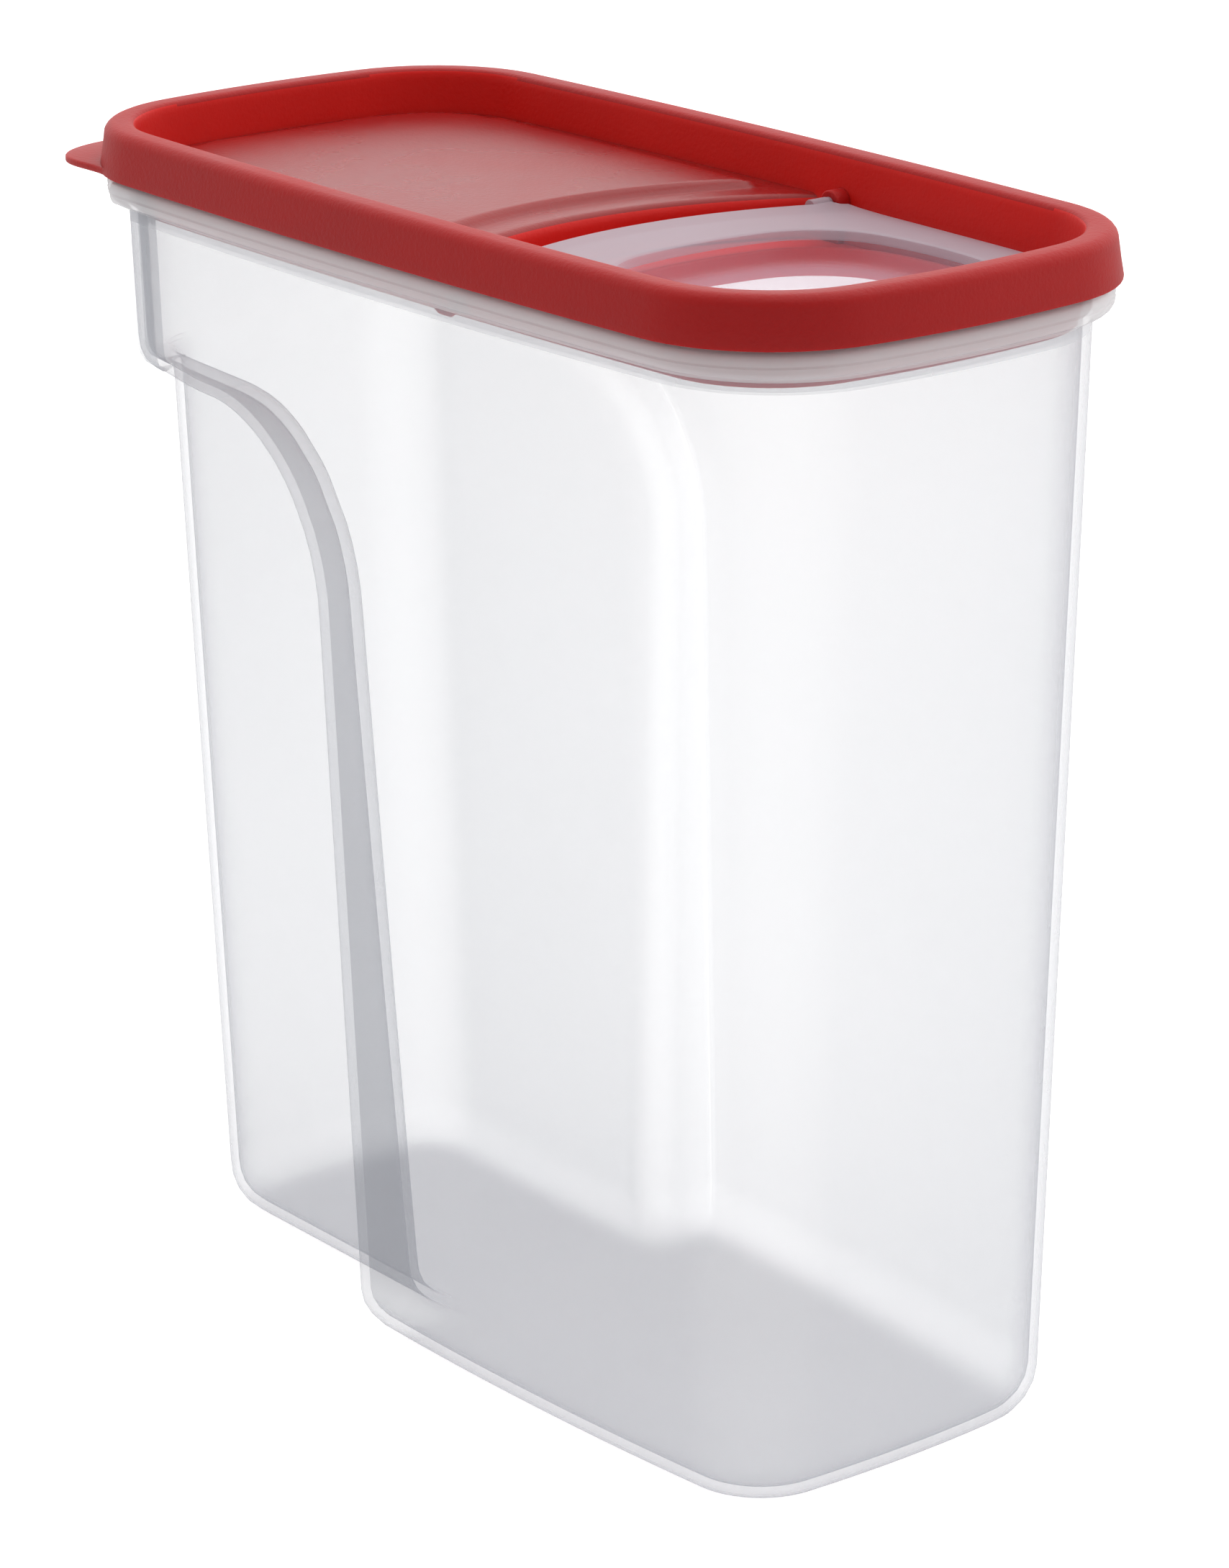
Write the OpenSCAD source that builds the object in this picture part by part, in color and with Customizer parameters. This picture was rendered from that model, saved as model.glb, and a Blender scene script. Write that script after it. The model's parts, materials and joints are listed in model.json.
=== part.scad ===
// Tall dry-food container with a press-on lid and a flip cover over its pouring opening.
// The origin is the middle of the footprint, on the surface that the container stands on.
// +X points to the pouring end, and the container's long sides face -Y and +Y.

/* [Lid outline] */
// Half of the lid's length, at the middle of its bowed ends
lid_half_l = 115; // [105:0.5:125]
// Half of the lid's width, at the middle of its bowed sides
lid_half_w = 55.1; // [50:0.1:60]
// Radius of the lid's corners
lid_corner_r = 31.7; // [26:0.1:36]
// How far the lid's long sides bow outwards
lid_side_bow = 1.67; // [0.8:0.01:3]
// How far the lid's ends bow outwards
lid_end_bow = 1.24; // [0.8:0.01:2.5]

/* [Lid] */
// Height of the lid above the lower edge of its skirt
lid_h = 9.74; // [9:0.01:11]
// Lean of the skirt, inwards towards its top
skirt_lean = 1.1; // [0.4:0.1:1.6]
// Radius of the rolled outer edge of the rim
rim_round = 2.4; // [1.6:0.1:2.6]
// Distance from the outline to the inner edge of the rim
rim_w = 7.5; // [7.1:0.1:9]
// Wall of the lid
lid_wall = 1.5; // [1.2:0.1:1.8]
// Depth of the front well, below the lower edge of the skirt
well_depth = 8.5; // [8.4:0.1:12]
// Width of the ledge inside the well that the flip cover lies on
ledge_w = 1.5; // [1.2:0.1:2.5]
// Height of the rear deck above the lower edge of the skirt
deck_z = 0.5; // [0:0.1:1.5]
// Height of the raised panel on the rear deck
panel_h = 1.4; // [0.6:0.1:2.2]
// Distance from the step between the deck and the well to the hinge axis
step_to_hinge = 20.5; // [17.5:0.5:27]
// Radius of the curved step, seen from above
step_r = 85; // [70:1:110]
// Height of the collar round the pouring opening, above the floor of the well
collar_h = 4.5; // [3:0.1:5]
// How far the pull tab reaches past the lid's corner
tab_reach = 9.2; // [6:0.1:14]
// Direction of the pull tab from the centre of its corner
tab_dir = 208; // [195:1:225]
// Half of the angle that the pull tab spans
tab_half_angle = 38; // [34:1:50]

/* [Flip cover] */
// Thickness of the flip cover's plate
cover_t = 1.8; // [1.4:0.1:2.2]
// Width over which the top of the plate rolls down to its thin edge
cover_roll = 6; // [3:0.5:7]
// Gap between the edge of the plate and the wall of the well
cover_gap = 0.7; // [0.5:0.1:1]
// Distance from the front of the lid back to the hinge axis
hinge_from_front = 93.5; // [91:0.5:96]
// How far the plate reaches behind the hinge axis
cover_tail = 7; // [5:0.1:7.1]
// Radius of the curved rear edge of the plate, seen from above
cover_rear_r = 95; // [80:1:115]
// Radius of the hinge pins
pin_r = 1.5; // [1.2:0.1:1.7]
// Length of each hinge pin
pin_l = 4.3; // [3.5:0.1:5]
// Radial clearance between a hinge pin and its socket
pin_clearance = 0.05; // [0.02:0.01:0.1]
// Half of the dish's length
dish_half_l = 33.2; // [28:0.1:34]
// Half of the dish's width
dish_half_w = 33; // [28:0.1:34]
// Radius of the dish's corners
dish_corner_r = 20; // [14:0.5:24]
// Bow of the dish's sides
dish_bow = 1; // [0.5:0.1:2]
// Distance from the hinge axis to the middle of the dish
dish_from_hinge = 45.3; // [43:0.1:47]
// Depth of the dish, below the top of the plate
dish_depth = 7.2; // [6:0.1:7.4]
// Wall of the dish
dish_wall = 1.5; // [1:0.1:2]
// Gap between the dish and the collar that it closes
dish_gap = 0.5; // [0.4:0.1:1]
// How far the finger tab reaches up at the front of the cover
finger_h = 4; // [2:0.1:6]
// Width of the finger tab
finger_w = 26; // [16:1:36]

/* [Container body] */
// Height of the body up to the lower edge of the lid's skirt
shoulder_z = 231.5; // [200:0.5:260]
// Wall of the body
wall = 1.8; // [1.4:0.1:2.2]
// Floor of the body
floor_t = 2.2; // [1.6:0.1:3]
// Half of the body's length at its base
base_half_l = 100.5; // [92:0.5:106]
// Half of the body's width at its base
base_half_w = 47.2; // [44:0.1:50]
// Radius of the body's corners at its base
base_corner_r = 21.3; // [18:0.1:26]
// Bow of the body's long sides at its base
base_side_bow = 4; // [1:0.1:5]
// How far the middle of the base lies forward of the middle of the lid
base_shift = 1.25; // [0:0.05:3]
// Radius of the edge round the base
foot_r = 10.3; // [8:0.1:14]
// Distance from the lid's outline in to the body's wall, under the bead
top_inset = 4.5; // [4:0.1:6]
// Bow of the body's long sides under the bead
top_side_bow = 2.2; // [1:0.1:4]
// Bow of the body's ends
body_end_bow = 1.1; // [0.8:0.1:2]
// Distance from the lid's outline in to the outside of the bead
bead_inset = 1.4; // [0.5:0.1:2]
// Height of the bead
bead_h = 4.8; // [4:0.1:6]
// Gap between the bead and the lower edge of the lid's skirt
bead_drop = 0.8; // [0.6:0.1:2]
// Radius of the bead's rounded edges
bead_r = 1.4; // [0.8:0.1:1.8]
// Wall of the rim that the lid presses on to
rim_wall = 2; // [1.6:0.1:2.2]
// Gap between the rim and the lid on each side
rim_gap = 0.9; // [0.6:0.1:1]
// Gap between the top of the rim and the lid that it carries
seat_gap = 0.2; // [0.1:0.05:0.4]

/* [Grip recesses] */
// Place of the step at the front of each recess, near the base
grip_x_low = -19; // [-26:0.5:-12]
// Place of the step at the front of each recess, where its arch starts
grip_x_high = -25; // [-32:0.5:-20]
// Radius of the arch over the front of each recess
grip_arch_r = 38; // [30:0.5:44]
// Height of the roof over each recess
grip_top = 191; // [170:0.5:196]
// Distance from the centre plane to the recess's wall, at the step near the base
grip_y_step_low = 31; // [28:0.5:36]
// Distance from the centre plane to the recess's wall, at the step under the roof
grip_y_step_high = 40.3; // [36:0.1:43]
// Distance from the centre plane to the recess's wall, at the rear near the base
grip_y_rear_low = 31.5; // [28:0.5:36]
// Distance from the centre plane to the recess's wall, at the rear under the roof
grip_y_rear_high = 33.6; // [30:0.1:38]
// Radius of the upright edge at the rear of each recess
grip_corner_r = 15; // [12:0.5:18]
// Radius of the lower edge of each recess's wall
grip_foot_r = 8; // [5:0.5:10]
// Radius of the rounded edge of the roof at the rear corners
grip_ledge_r = 5; // [2:0.5:6]

/* [Hidden] */

eps = 0.01;
fine = 96;
very_fine = 720;
// How far a cut runs past what it cuts, and how far joined solids reach into each other
cut = 1;
// Small rounding of the edges that a hand meets
soft = 0.4;

// Places along the length
hinge_x = lid_half_l - hinge_from_front;
step_x = hinge_x - step_to_hinge;

// Lid heights, all above the base of the container
lid_top_z = shoulder_z + lid_h;
lid_ceiling_z = lid_top_z - lid_wall;
deck_top_z = shoulder_z + deck_z;
well_bottom_z = shoulder_z - well_depth;
well_floor_t = 1;
well_floor_z = well_bottom_z + well_floor_t;
collar_top_z = well_floor_z + collar_h;
rim_top_z = lid_ceiling_z - seat_gap;

// The flip cover's plate lies just above its ledge
cover_lift = 0.2;
ledge_drop = 1.1;
ledge_z = shoulder_z - ledge_drop;
cover_bottom_z = ledge_z + cover_lift;
cover_top_z = cover_bottom_z + cover_t;
hinge_z = (cover_bottom_z + cover_top_z) / 2;

// Insets from the lid's outline: the skirt, the body's rim in its channel, and the plug wall inside it
rim_lead = 0.3;
plug_lean = 2.2;
well_lean = 0.9;
skirt_in = lid_wall + skirt_lean;
rim_out_inset = skirt_in + rim_gap + rim_lead;
rim_in_inset = rim_out_inset + rim_wall;
plug_out_inset = rim_in_inset + rim_gap / 2;
plug_low_inset = plug_out_inset + plug_lean;
well_inset = rim_w + well_lean;
ledge_inset = well_inset + ledge_w;

// A bowed rounded rectangle: half length, half width, corner radius, side bow, end bow, middle along x
lid_outline = [lid_half_l, lid_half_w, lid_corner_r, lid_side_bow, lid_end_bow, 0];
dish_x = hinge_x + dish_from_hinge;
dish_outline = [dish_half_l, dish_half_w, dish_corner_r, dish_bow, dish_bow, dish_x];

function lerp(a, b, t) = a + (b - a) * t;
function inset(o, d) = [o[0] - d, o[1] - d, o[2] - d, o[3], o[4], o[5]];
function bow_radius(half_chord, bow) = (half_chord * half_chord + bow * bow) / (2 * bow);
function polar(c, r, t) = [c[0] + r * cos(t), c[1] + r * sin(t)];

// Where two circles meet, on the side of +X
function meet(c1, r1, c2, r2) =
    let (v = c2 - c1, d = norm(v), u = v / d)
    let (t = (r1 * r1 - r2 * r2 + d * d) / (2 * d))
    let (s = sqrt(r1 * r1 - t * t))
    c1 + t * u + s * [u[1], -u[0]];

// Arcs of the outline's first quarter: side centre and radius, end centre and radius, corner centre,
// and the angles where the side and the end meet the corner
function arcs(o) =
    let (rs = bow_radius(o[0] - o[2], o[3]), re = bow_radius(o[1] - o[2], o[4]))
    let (cs = [0, o[1] - rs], ce = [o[0] - re, 0])
    let (q = meet(cs, rs - o[2], ce, re - o[2]))
    let (vs = q - cs, ve = q - ce)
    [cs, rs, ce, re, q, atan2(vs[1], vs[0]), atan2(ve[1], ve[0])];

// Height of the bowed side over a place along the length
function side_y(o, g, x) = g[0][1] + sqrt(g[1] * g[1] - x * x);

function arc_points(c, r, t0, t1, n) = [for (i = [0:n]) polar(c, r, lerp(t0, t1, i / n))];

// Points of the whole outline, anticlockwise from the front
function quarter(o, g) = concat(
    arc_points(g[2], g[3], 0, g[6], 2),
    without_first(arc_points(g[4], o[2], g[6], g[5], 8)),
    without_first(arc_points(g[0], g[1], g[5], 90, 4)));
function without_first(p) = [for (i = [1:len(p) - 1]) p[i]];
function reversed(p) = [for (i = [len(p) - 1:-1:0]) p[i]];
function outline_points(o) =
    let (q = quarter(o, arcs(o)), n = len(q))
    let (rear = [for (i = [n - 2:-1:0]) [-q[i][0], q[i][1]]])
    let (upper = concat(q, rear), m = len(upper))
    let (lower = [for (i = [m - 2:-1:1]) [upper[i][0], -upper[i][1]]])
    [for (p = concat(upper, lower)) [p[0] + o[5], p[1]]];

// A skin of triangles over rings of points, each ring anticlockwise from above.
// The rings run up the outside, over the top and down the inside. Where loop is true the last ring
// joins the first, and otherwise the first and the last are closed by flat faces.
module skin(rings, loop) {
    n = len(rings[0]);
    count = len(rings);
    walls = [for (k = [0:count - (loop ? 1 : 2)], j = [0:n - 1])
        let (up = ((k + 1) % count) * n)
        let (a = k * n + j, b = k * n + (j + 1) % n, c = up + (j + 1) % n, d = up + j)
        for (f = [[a, d, c], [a, c, b]]) f];
    ends = loop ? [] : [[for (j = [0:n - 1]) j], [for (j = [n - 1:-1:0]) (count - 1) * n + j]];
    polyhedron(points = [for (r = rings) for (p = r) p], faces = concat(walls, ends), convexity = 10);
}

// Rings that carry a profile of [inset, height] points round an outline
function rings_around(o, profile) =
    [for (p = profile) [for (q = outline_points(inset(o, p[0]))) [q[0], q[1], p[1]]]];

module slab(o, z0, z1) {
    translate([0, 0, z0])
        linear_extrude(z1 - z0)
            polygon(outline_points(o));
}

// ---- Container body ----

// The body's outline at a height, moved in by d. Its upper corners are a little rounder than the lid's.
corner_more = 1.5;
function body_outline(z, d) =
    let (t = z / shoulder_z)
    [lerp(base_half_l, lid_half_l - top_inset, t) - d,
     lerp(base_half_w, lid_half_w - top_inset, t) - d,
     lerp(base_corner_r, lid_corner_r - top_inset + corner_more, t) - d,
     lerp(base_side_bow, top_side_bow, t),
     body_end_bow,
     lerp(base_shift, 0, t)];

// How far a rounded lower edge of radius r draws in at height z
function foot_inset(z, r) = z >= r ? 0 : r - sqrt(r * r - (r - z) * (r - z));

// The front step of a recess: the centre of its arch, its x at a height below the arch,
// and its [x, z] at angle t of the arch, moved out by d
arch_c = [grip_x_high - grip_arch_r, grip_top - grip_arch_r];
function step_line(z) = lerp(grip_x_low, grip_x_high, z / arch_c[1]);
function arch_point(t, d) = polar(arch_c, grip_arch_r + d, t);

// The recess's wall at height z, moved in by d: its y at the step and at the rear, and its corner radius
function grip_wall(z, d) =
    let (t = z / grip_top)
    [lerp(grip_y_step_low, grip_y_step_high, t) - d,
     lerp(grip_y_rear_low, grip_y_rear_high, t) - d,
     grip_corner_r - d];

// Columns of half a ring: the front end and corner, the side up to the step, and the part behind the step
end_n = 3;
corner_n = 6;
side_n = 5;
grip_n = 4;
grip_corner_n = 5;

function front_half(o, g, xe) = concat(
    arc_points(g[2], g[3], 0, g[6], end_n),
    [for (i = [1:corner_n]) polar(g[4], o[2], lerp(g[6], g[5], i / corner_n))],
    [for (i = [1:side_n]) let (x = lerp(polar(g[4], o[2], g[5])[0], xe, i / side_n)) [x, side_y(o, g, x)]]);

// The rear part without a recess, which starts a little behind xe so that the roof's edge can rise there
roof_start = 2;
function rear_plain(o, g, xe) = concat(
    [for (i = [0:grip_n])
        let (x = lerp(xe - roof_start, -polar(g[4], o[2], g[5])[0], i / grip_n))
        [x, side_y(o, g, x)]],
    [for (i = [1:grip_corner_n])
        let (p = polar(g[4], o[2], lerp(g[5], g[6], i / grip_corner_n)))
        [-p[0], p[1]]],
    [for (i = [1:end_n]) let (p = polar(g[2], g[3], g[6] * (1 - i / end_n))) [-p[0], p[1]]]);

// The rear part with a recess of wall w, whose y is ruled along x from the rear corner to the arch
function rear_recessed(o, g, xe, w) =
    let (yc = w[1] - w[2])
    let (xr = -(g[2][0] + sqrt(g[3] * g[3] - yc * yc)))
    let (c = [xr + w[2], yc])
    concat(
        [for (i = [0:grip_n])
            let (x = lerp(xe, c[0], i / grip_n), f = (x - c[0]) / (grip_x_high - o[5] - c[0]))
            [x, lerp(w[1], w[0], f)]],
        without_first(arc_points(c, w[2], 90, 180, grip_corner_n)),
        [for (i = [1:end_n]) let (y = yc * (1 - i / end_n)) [-(g[2][0] + sqrt(g[3] * g[3] - y * y)), y]]);

// A point drawn from a towards b by at most d
function towards(a, b, d) = let (v = norm(b - a)) v < eps ? a : a + (b - a) * min(1, d / v);

// A whole ring from its half on the side of +Y, with a height for each point
function close_ring(half, z, shift) =
    let (n = len(half))
    let (lower = [for (i = [n - 2:-1:1]) [half[i][0], -half[i][1], z[i]]])
    let (upper = [for (i = [0:n - 1]) [half[i][0], half[i][1], z[i]]])
    [for (p = concat(upper, lower)) [p[0] + shift, p[1], p[2]]];
function level(half, z) = [for (p = half) z];

// A ring without the recesses
function plain_ring(o, z) =
    let (g = arcs(o), xe = arch_c[0], half = concat(front_half(o, g, xe), rear_plain(o, g, xe)))
    close_ring(half, level(half, z), o[5]);

// A ring through the recesses, whose step stands at xe
function recessed_ring(o, z, xe, w) =
    let (g = arcs(o), x = xe - o[5])
    let (half = concat(front_half(o, g, x), rear_recessed(o, g, x, w)))
    close_ring(half, level(half, z), o[5]);

// A ring of the roof's rounded edge, at angle t of its quarter turn. Each ring stands a little
// above the one before, so that no two of them meet at the arch.
roof_rise = 0.4;
function roof_ring(o, z, t, w) =
    let (g = arcs(o), xe = arch_c[0] - o[5])
    let (front = front_half(o, g, xe), plain = rear_plain(o, g, xe))
    let (deep = rear_recessed(o, g, xe, w), n = len(plain) - 1)
    let (r = [for (i = [0:n]) grip_ledge_r * min(1, i / grip_n)])
    let (rear = [for (i = [0:n]) towards(plain[i], deep[i], r[i] * (1 - cos(t)))])
    let (half = concat(front, rear), ring_z = z + (90 - t) / 90 * roof_rise)
    let (rear_z = [for (i = [0:n]) ring_z + r[i] * (1 - sin(t))])
    close_ring(half, concat(level(front, ring_z), rear_z), o[5]);

// Rings of the body's outside, with d 0, or of its inside, with d the wall
foot_angles = [0, 18, 36, 54, 72, 90];
function skin_low(d, z0) = [for (t = foot_angles)
    let (r = foot_r - d, h = r * (1 - cos(t)), e = foot_inset(h, r), z = z0 + h)
    let (w = grip_wall(z, d + foot_inset(h, grip_foot_r - d)))
    recessed_ring(body_outline(z, d + e), z, step_line(z) + d + e, w)];
function skin_mid(d) = [for (t = [0.4, 0.7, 1])
    let (z = arch_c[1] * t)
    recessed_ring(body_outline(z, d), z, step_line(z) + d, grip_wall(z, d))];
function skin_arch(d) = [for (t = [15:15:90])
    let (p = arch_point(t, d))
    recessed_ring(body_outline(p[1], d), p[1], p[0], grip_wall(p[1], d))];
function skin_roof(d) = [for (t = [90:-22.5:0])
    let (z = grip_top + d)
    roof_ring(body_outline(z, d), z + eps, t, grip_wall(z, d))];

// The bead, neck and rim, as [inset from the lid's outline, height], from below the bead over the rim
bead_top_z = shoulder_z - bead_drop;
bead_low_z = bead_top_z - bead_h;
under_bead_z = bead_low_z - 4;
bead_profile = concat(
    [[top_inset - soft, bead_low_z - 2 * soft]],
    [for (t = [0:45:90]) [bead_inset + bead_r * (1 - sin(t)), bead_low_z + bead_r * (1 - cos(t))]],
    [for (t = [90:-45:0]) [bead_inset + bead_r * (1 - sin(t)), bead_top_z - bead_r * (1 - cos(t))]],
    [[rim_out_inset, bead_top_z + soft],
     [rim_out_inset, rim_top_z - soft],
     [rim_out_inset + soft, rim_top_z],
     [rim_in_inset - soft, rim_top_z],
     [rim_in_inset, rim_top_z - soft],
     [rim_in_inset, bead_low_z]]);

// One skin up the outside, over the rim and down the inside
module container_body() {
    rings = concat(
        skin_low(0, 0), skin_mid(0), skin_arch(0), skin_roof(0),
        [plain_ring(body_outline(under_bead_z, 0), under_bead_z)],
        [for (p = bead_profile) plain_ring(inset(lid_outline, p[0]), p[1])],
        [plain_ring(body_outline(under_bead_z, wall), under_bead_z)],
        reversed(concat(skin_low(wall, floor_t), skin_mid(wall), skin_arch(wall), skin_roof(wall))));
    color("WhiteSmoke", 0.4)
        skin(rings, false);
}

// ---- Lid ----

// Profile of the skirt, the rolled rim and the wall that plugs the container's mouth
plug_lead_z = shoulder_z - 2.5;
rim_profile = concat(
    [[0, shoulder_z], [skirt_lean, lid_top_z - rim_round]],
    [for (t = [22.5:22.5:90])
        [skirt_lean + rim_round * (1 - cos(t)), lid_top_z - rim_round * (1 - sin(t))]],
    [[rim_w - 2 * soft, lid_top_z], [rim_w, lid_top_z - 2 * soft],
     [well_inset, ledge_z], [ledge_inset, ledge_z], [ledge_inset + soft / 2, well_bottom_z],
     [plug_low_inset, well_bottom_z], [plug_out_inset + soft, plug_lead_z],
     [plug_out_inset, lid_ceiling_z], [skirt_in + soft, lid_ceiling_z],
     [skirt_in, lid_ceiling_z - soft], [lid_wall, shoulder_z]]);

// The slabs inside the rim end within its plug wall
inner_inset = (plug_low_inset + ledge_inset) / 2;
deck_inset = (plug_out_inset + soft + well_inset) / 2;
step_c = step_x + step_r;
deck_slab_t = 1.6;

// The collar follows the dish, with a gap
collar_lead = 0.3;
collar_outline = inset(dish_outline, -dish_gap - collar_lead);

// A round post that stands on the step's centre line, from z0 to z1
module step_post(r, z0, z1) {
    translate([step_c, 0, z0])
        cylinder(r = r, h = z1 - z0, $fn = very_fine);
}

module deck() {
    low_z = deck_top_z - deck_slab_t;
    difference() {
        slab(inset(lid_outline, deck_inset), low_z, deck_top_z);
        step_post(step_r + lid_wall / 2, low_z - cut, deck_top_z + cut);
    }
}

panel_margin = 5;
module deck_panel() {
    top_z = deck_top_z + panel_h;
    difference() {
        slab(inset(lid_outline, well_inset + panel_margin), deck_top_z - cut, top_z);
        step_post(step_r + panel_margin, deck_top_z - 2 * cut, top_z + cut);
    }
}

module step_wall() {
    intersection() {
        slab(inset(lid_outline, inner_inset), well_bottom_z, deck_top_z - soft);
        difference() {
            step_post(step_r + lid_wall, well_bottom_z, deck_top_z);
            step_post(step_r, well_bottom_z - cut, deck_top_z + cut);
        }
    }
}

module well_floor() {
    difference() {
        intersection() {
            slab(inset(lid_outline, inner_inset), well_bottom_z, well_floor_z);
            step_post(step_r + lid_wall / 2, well_bottom_z - cut, well_floor_z + cut);
        }
        slab(inset(collar_outline, lid_wall / 2), well_bottom_z - cut, well_floor_z + cut);
    }
}

module collar() {
    skin(rings_around(inset(collar_outline, -lid_wall), [
        [0, well_bottom_z + soft], [0, collar_top_z - soft], [soft, collar_top_z],
        [lid_wall - soft, collar_top_z], [lid_wall, collar_top_z - soft],
        [lid_wall + soft / 2, well_bottom_z], [soft, well_bottom_z]]), true);
}

// Sockets for the hinge pins, grown from the walls of the well
lug_wall = 1.7;
lug_r = pin_r + lug_wall;
pin_end_gap = 0.4;
pin_side_gap = 0.8;
pin_bare_l = 2;
wall_y = side_y(lid_outline, arcs(lid_outline), hinge_x) - well_inset;
pin_tip_y = wall_y - pin_side_gap;
lug_y = pin_tip_y - pin_l + pin_bare_l;
lug_top_y = wall_y + 1.2;
module hinge_lug() {
    low_z = well_floor_z - soft;
    translate([hinge_x, lug_y, hinge_z])
        rotate([-90, 0, 0])
            cylinder(r = lug_r, h = lug_top_y - lug_y, $fn = fine);
    translate([hinge_x - lug_r, lug_y, low_z])
        cube([2 * lug_r, lug_top_y - lug_y, hinge_z - low_z]);
}

module hinge_bore() {
    translate([hinge_x, lug_y - cut, hinge_z])
        rotate([-90, 0, 0])
            cylinder(r = pin_r + pin_clearance, h = pin_tip_y + pin_end_gap - lug_y + cut, $fn = fine);
}

// A flat leaf that swells from the rear left corner of the skirt
tab_sink = 0.2;
module pull_tab() {
    n = 24;
    c = -arcs(lid_outline)[4];
    root_r = lid_corner_r - tab_sink;
    turns = [for (i = [0:n]) 2 * i / n - 1];
    outer = [for (t = turns)
        polar(c, root_r + tab_reach * pow(cos(90 * t), 2), tab_dir + t * tab_half_angle)];
    inner = [for (t = reversed(turns))
        polar(c, lid_corner_r - lid_wall / 2, tab_dir + t * tab_half_angle)];
    translate([0, 0, shoulder_z])
        linear_extrude(lid_wall)
            polygon(concat(outer, inner));
}

module lid() {
    color("Crimson")
        difference() {
            union() {
                skin(rings_around(lid_outline, rim_profile), true);
                deck();
                deck_panel();
                step_wall();
                well_floor();
                collar();
                pull_tab();
                for (y = [0, 1])
                    mirror([0, y, 0])
                        hinge_lug();
            }
            for (y = [0, 1])
                mirror([0, y, 0])
                    hinge_bore();
        }
}

// ---- Flip cover ----

cover_inset = well_inset + cover_gap;
cover_rear_c = hinge_x - cover_tail + cover_rear_r;
cover_front_x = lid_half_l - cover_inset;
cover_edge_t = 0.4;
notch_gap = 0.6;
ear_l = 12;
ear_w = 4.4;
ear_y = lug_y - notch_gap - ear_w;
knuckle_wall = 0.6;
finger_t = 1.6;
finger_lean = 8;
finger_back = 3.2;
dish_draft = 0.9;
dish_floor_t = 1.2;

// Room for a socket at a rear corner of the plate
module socket_notch() {
    translate([cover_rear_c - cover_rear_r - cut, lug_y - notch_gap, cover_bottom_z - cut])
        cube([cover_tail + lug_r + notch_gap + cut, lid_half_w - lug_y, cover_t + 2 * cut]);
}

// The plate's top rolls down to a thin edge all round, as a quarter of an ellipse
cover_profile = concat(
    [[cover_inset, cover_bottom_z]],
    [for (t = [0:22.5:90])
        [cover_inset + cover_roll * (1 - cos(t)),
         lerp(cover_bottom_z + cover_edge_t, cover_top_z, sin(t))]]);

module cover_plate() {
    difference() {
        intersection() {
            skin(rings_around(lid_outline, cover_profile), false);
            translate([cover_rear_c, 0, cover_bottom_z - cut])
                cylinder(r = cover_rear_r, h = cover_t + 2 * cut, $fn = very_fine);
        }
        for (y = [0, 1])
            mirror([0, y, 0])
                socket_notch();
        slab(inset(dish_outline, dish_wall / 2), cover_bottom_z - cut, cover_top_z + cut);
    }
}

// A cup that hangs from the plate and fills the collar, with drafted walls
module dish() {
    bottom_z = cover_top_z - dish_depth;
    floor_z = bottom_z + dish_floor_t;
    inner = dish_draft + dish_wall;
    skin(rings_around(dish_outline, [
        [dish_draft + 3 * soft, bottom_z], [dish_draft + soft, bottom_z + soft],
        [dish_draft, bottom_z + 3 * soft], [0, cover_bottom_z + soft], [0, cover_top_z - soft],
        [dish_wall - soft, cover_top_z - soft], [dish_wall, cover_top_z - 2 * soft],
        [inner, floor_z + 4 * soft], [inner + soft, floor_z + 2 * soft],
        [inner + 4 * soft, floor_z]]), false);
}

// A pin, the knuckle that carries it, and the ear that joins the knuckle to the plate
module hinge_pin() {
    translate([hinge_x, pin_tip_y - pin_l, hinge_z])
        rotate([-90, 0, 0])
            cylinder(r = pin_r, h = pin_l, $fn = fine);
    translate([hinge_x, ear_y, hinge_z])
        rotate([-90, 0, 0])
            cylinder(r = pin_r + knuckle_wall, h = ear_w, $fn = fine);
    translate([hinge_x, ear_y, cover_bottom_z])
        cube([ear_l, ear_w, cover_t]);
}

module finger_tab() {
    translate([cover_front_x - finger_back, -finger_w / 2, cover_bottom_z + cover_lift])
        rotate([0, finger_lean, 0])
            cube([finger_t, finger_w, finger_h + cover_t]);
}

module flip_cover() {
    color("MistyRose", 0.7)
        union() {
            cover_plate();
            dish();
            finger_tab();
            for (y = [0, 1])
                mirror([0, y, 0])
                    hinge_pin();
        }
}

container_body();
lid();
flip_cover();
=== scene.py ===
import json
from math import atan2, cos, hypot, radians, sin, sqrt

import bmesh
import bpy
from bmesh.types import BMVert
from mathutils import Matrix, Vector


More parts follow.
